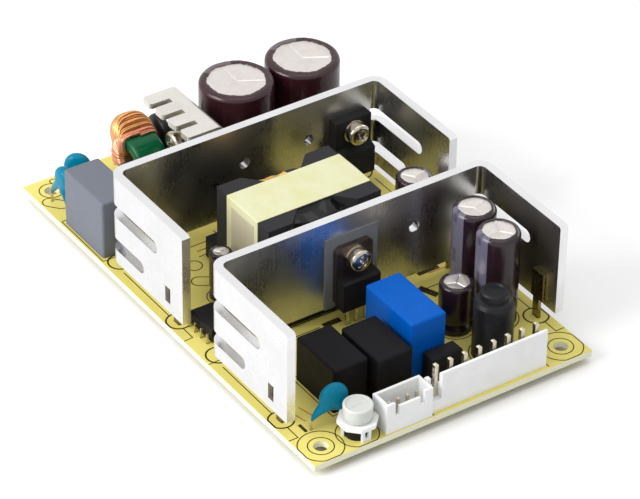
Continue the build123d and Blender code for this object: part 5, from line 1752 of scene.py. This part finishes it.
@dataclass(frozen=True)
class Studio:
    """Camera, lamps, surroundings and floor.

    Attributes:
        azimuth: Direction of the view in radians, as the camera fit gave it.
        elevation: Height of the view in radians.
        roll: Turn of the picture in radians.
        distance: Distance from the target.
        target: Point that the camera looks at.
        focal_pixels: Focal length in pixels of the picture.
        picture_width: Width of that picture in pixels.
        sensor: Width of the camera's sensor.
        fill: Level of the surroundings for diffuse light.
        lamps: The lamps.
        aim: Point in metres that the lamps look at.
        floor_seen: Darkest and palest grey of the floor as the camera sees it.
        floor_mirrored: Grey of the floor as metal mirrors it.
        floor_bounce: Grey of the floor as it lights the part.
        floor_half: Half the side of the floor.
    """

    azimuth: float = 0.9693354719685043
    elevation: float = 0.6257452740519515
    roll: float = 0.015025134959751881
    distance: float = 815.432
    target: tuple[float, float, float] = (-2.7997, 7.9759, 3.6)
    focal_pixels: float = 3442.018
    picture_width: int = 640
    sensor: float = 36.0
    fill: float = 0.76
    lamps: tuple[AreaLamp, ...] = (
        AreaLamp("key", (-0.12, -0.70, 0.42), (0.55, 0.45), 6.2),
        AreaLamp("top", (0.05, 0.05, 0.85), (0.70, 0.70), 1.6))
    aim: tuple[float, float, float] = (0.0, 0.0, 0.01)
    floor_seen: tuple[float, float] = (0.955, 0.965)
    floor_mirrored: float = 0.8
    floor_bounce: float = 0.7
    floor_half: float = 2500.0

    def build(self) -> None:
        """Builds everything around the part."""
        bpy.context.scene.view_settings.view_transform = "Standard"
        self.camera()
        self.surroundings()
        self.floor()
        for lamp in self.lamps:
            lamp.build(Vector(self.aim))

    def camera(self) -> None:
        """Places the camera that matches the photograph."""
        back = Vector((sin(self.azimuth) * cos(self.elevation),
                       -cos(self.azimuth) * cos(self.elevation), sin(self.elevation)))
        right = Vector((cos(self.azimuth), sin(self.azimuth), 0.0))
        up = back.cross(right)
        turned_right = cos(self.roll) * right + sin(self.roll) * up
        turned_up = -sin(self.roll) * right + cos(self.roll) * up
        data = bpy.data.cameras.new("photo_camera")
        data.sensor_width = self.sensor
        data.lens = self.focal_pixels / self.picture_width * self.sensor
        data.clip_start, data.clip_end = 0.01, 20.0
        camera = bpy.data.objects.new("photo_camera", data)
        bpy.context.collection.objects.link(camera)
        place = (Vector(self.target) + self.distance * back) * MM
        turn = Matrix((turned_right, turned_up, back)).transposed().to_4x4()
        camera.matrix_world = Matrix.Translation(place) @ turn
        bpy.context.scene.camera = camera

    def surroundings(self) -> None:
        """White for the camera, mirrors and clear plastic, and a soft level for the rest."""
        world = bpy.data.worlds.new("studio")
        world.use_nodes = True
        tree = world.node_tree
        tree.nodes.clear()
        mix = tree.nodes.new("ShaderNodeMixShader")
        tree.links.new(self.shown(tree, *Ray), mix.inputs[0])
        for strength, target in ((self.fill, mix.inputs[1]), (1.0, mix.inputs[2])):
            background = tree.nodes.new("ShaderNodeBackground")
            background.inputs["Color"].default_value = (1.0, 1.0, 1.0, 1.0)
            background.inputs["Strength"].default_value = strength
            tree.links.new(background.outputs[0], target)
        output = tree.nodes.new("ShaderNodeOutputWorld")
        tree.links.new(mix.outputs[0], output.inputs["Surface"])
        bpy.context.scene.world = world

    @staticmethod
    def shown(tree: bpy.types.NodeTree, *rays: Ray) -> Socket:
        """1 for rays of any of the given kinds, else 0.

        Args:
            tree: Node tree to build in.
            *rays: Kinds of rays.

        Returns:
            The largest of the Light Path node's values for them.
        """
        path = tree.nodes.new("ShaderNodeLightPath")
        result = path.outputs[rays[0].value]
        for ray in rays[1:]:
            larger = tree.nodes.new("ShaderNodeMath")
            larger.operation = "MAXIMUM"
            tree.links.new(result, larger.inputs[0])
            tree.links.new(path.outputs[ray.value], larger.inputs[1])
            result = larger.outputs[0]
        return result

    def floor(self) -> None:
        """Wide pale floor under the part, which throws only a soft light back up."""
        side = np.linspace(-self.floor_half, self.floor_half, 2)
        x, y = np.meshgrid(side, side, indexing="ij")
        skin = Skin()
        skin.add(np.stack([x, y, np.zeros_like(x)], axis=-1), ring=False, lids=False)
        floor = skin.build("floor", 38.0)
        graph = Graph("floor_paper")
        paper = graph.noise(400.0, 3.0)
        dark, pale, mirrored, bounce = ((level,) * 3 for level in (
            *self.floor_seen, self.floor_mirrored, self.floor_bounce))
        hidden = graph.mixed(self.shown(graph.tree, Ray.GLOSSY), bounce, mirrored)
        graph.set("Base Color", graph.mixed(
            self.shown(graph.tree, Ray.CAMERA, Ray.TRANSMISSION), hidden,
            graph.fade(paper, *NOISE, 1.0, dark, pale)))
        graph.set("Roughness", 0.85)
        graph.relief(paper, 0.00002, 0.2)
        floor.data.materials.append(graph.material)


def capacitors(book: FinishBook) -> list[Electrolytic]:
    """All electrolytic capacitors of the part.

    Args:
        book: Finishes.

    Returns:
        The capacitors, not yet built.
    """
    brown, dark = "brown_sleeve", "dark_sleeve"
    return [
        Electrolytic(book, "bulk_capacitor_1", -38.0, 7.2, 18.3, 29.2, brown, 187.0, -32.0),
        Electrolytic(book, "bulk_capacitor_2", -38.0, 26.1, 18.3, 29.2, brown, 187.0, -32.0),
        Electrolytic(book, "output_capacitor_1", 30.9, 27.6, 10.3, 25.0, dark, -94.5, 20.0),
        Electrolytic(book, "output_capacitor_2", 41.3, 26.8, 10.3, 25.0, dark, -94.5, 66.0),
        Electrolytic(book, "output_capacitor_3", 39.3, 17.0, 8.2, 13.2, dark, 150.0, 40.0),
        Electrolytic(book, "bias_capacitor", 0.1, -21.7, 5.5, 13.2, dark, 200.0, 20.0),
        Electrolytic(book, "snubber_capacitor", 4.6, 29.6, 9.0, 17.6, dark, 80.0, 10.0),
    ]


def discs(book: FinishBook) -> list[CeramicDisc]:
    """All dipped discs of the part.

    Args:
        book: Finishes.

    Returns:
        The discs, not yet built.
    """
    return [
        CeramicDisc(book, "y_capacitor_1", -54.2, -27.9, 8.0, 3.3, 3.0, 50.0, 5.0, 0.0),
        CeramicDisc(book, "y_capacitor_2", -50.9, -35.0, 10.2, 3.0, 3.0, 0.0, 7.5, 2.5),
        CeramicDisc(book, "disc_capacitor", 52.9, -27.9, 7.6, 3.4, 2.6, 82.0, 7.5, 1.75),
        CeramicDisc(book, "thermistor", -50.4, -7.0, 12.2, 4.7, 3.2, 0.0, 7.5, 0.0, "dark_dip"),
    ]


def main() -> None:
    """Builds the studio, paints the frame and adds every fine piece."""
    logging.basicConfig(level=logging.INFO, format="%(name)s %(message)s")
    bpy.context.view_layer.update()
    Studio().build()
    book = FinishBook(FINISHES)
    LOG.info("%d CAD nodes painted", book.paint_nodes())
    BoardLegend(book).build()
    SolderSide(book).build()
    for capacitor in capacitors(book):
        capacitor.build()
    # The front winding takes the pinker copper copy, painted light on the front of the choke.
    ChokeWinding(book, 1, "enamelled_copper_front_painted_light", 90.0, 124.0, 15, 2, 0.28).build()
    ChokeWinding(book, 2, "enamelled_copper", 110.0, 56.0, 12, 8, 0.31, 1.3, 0.25).build()
    for disc in discs(book):
        disc.build()
    FixingScrews(book).build()
    TransformerDressing(book).build()
    AdjustingKnob(book).build()


if __name__ == "__main__":
    main()
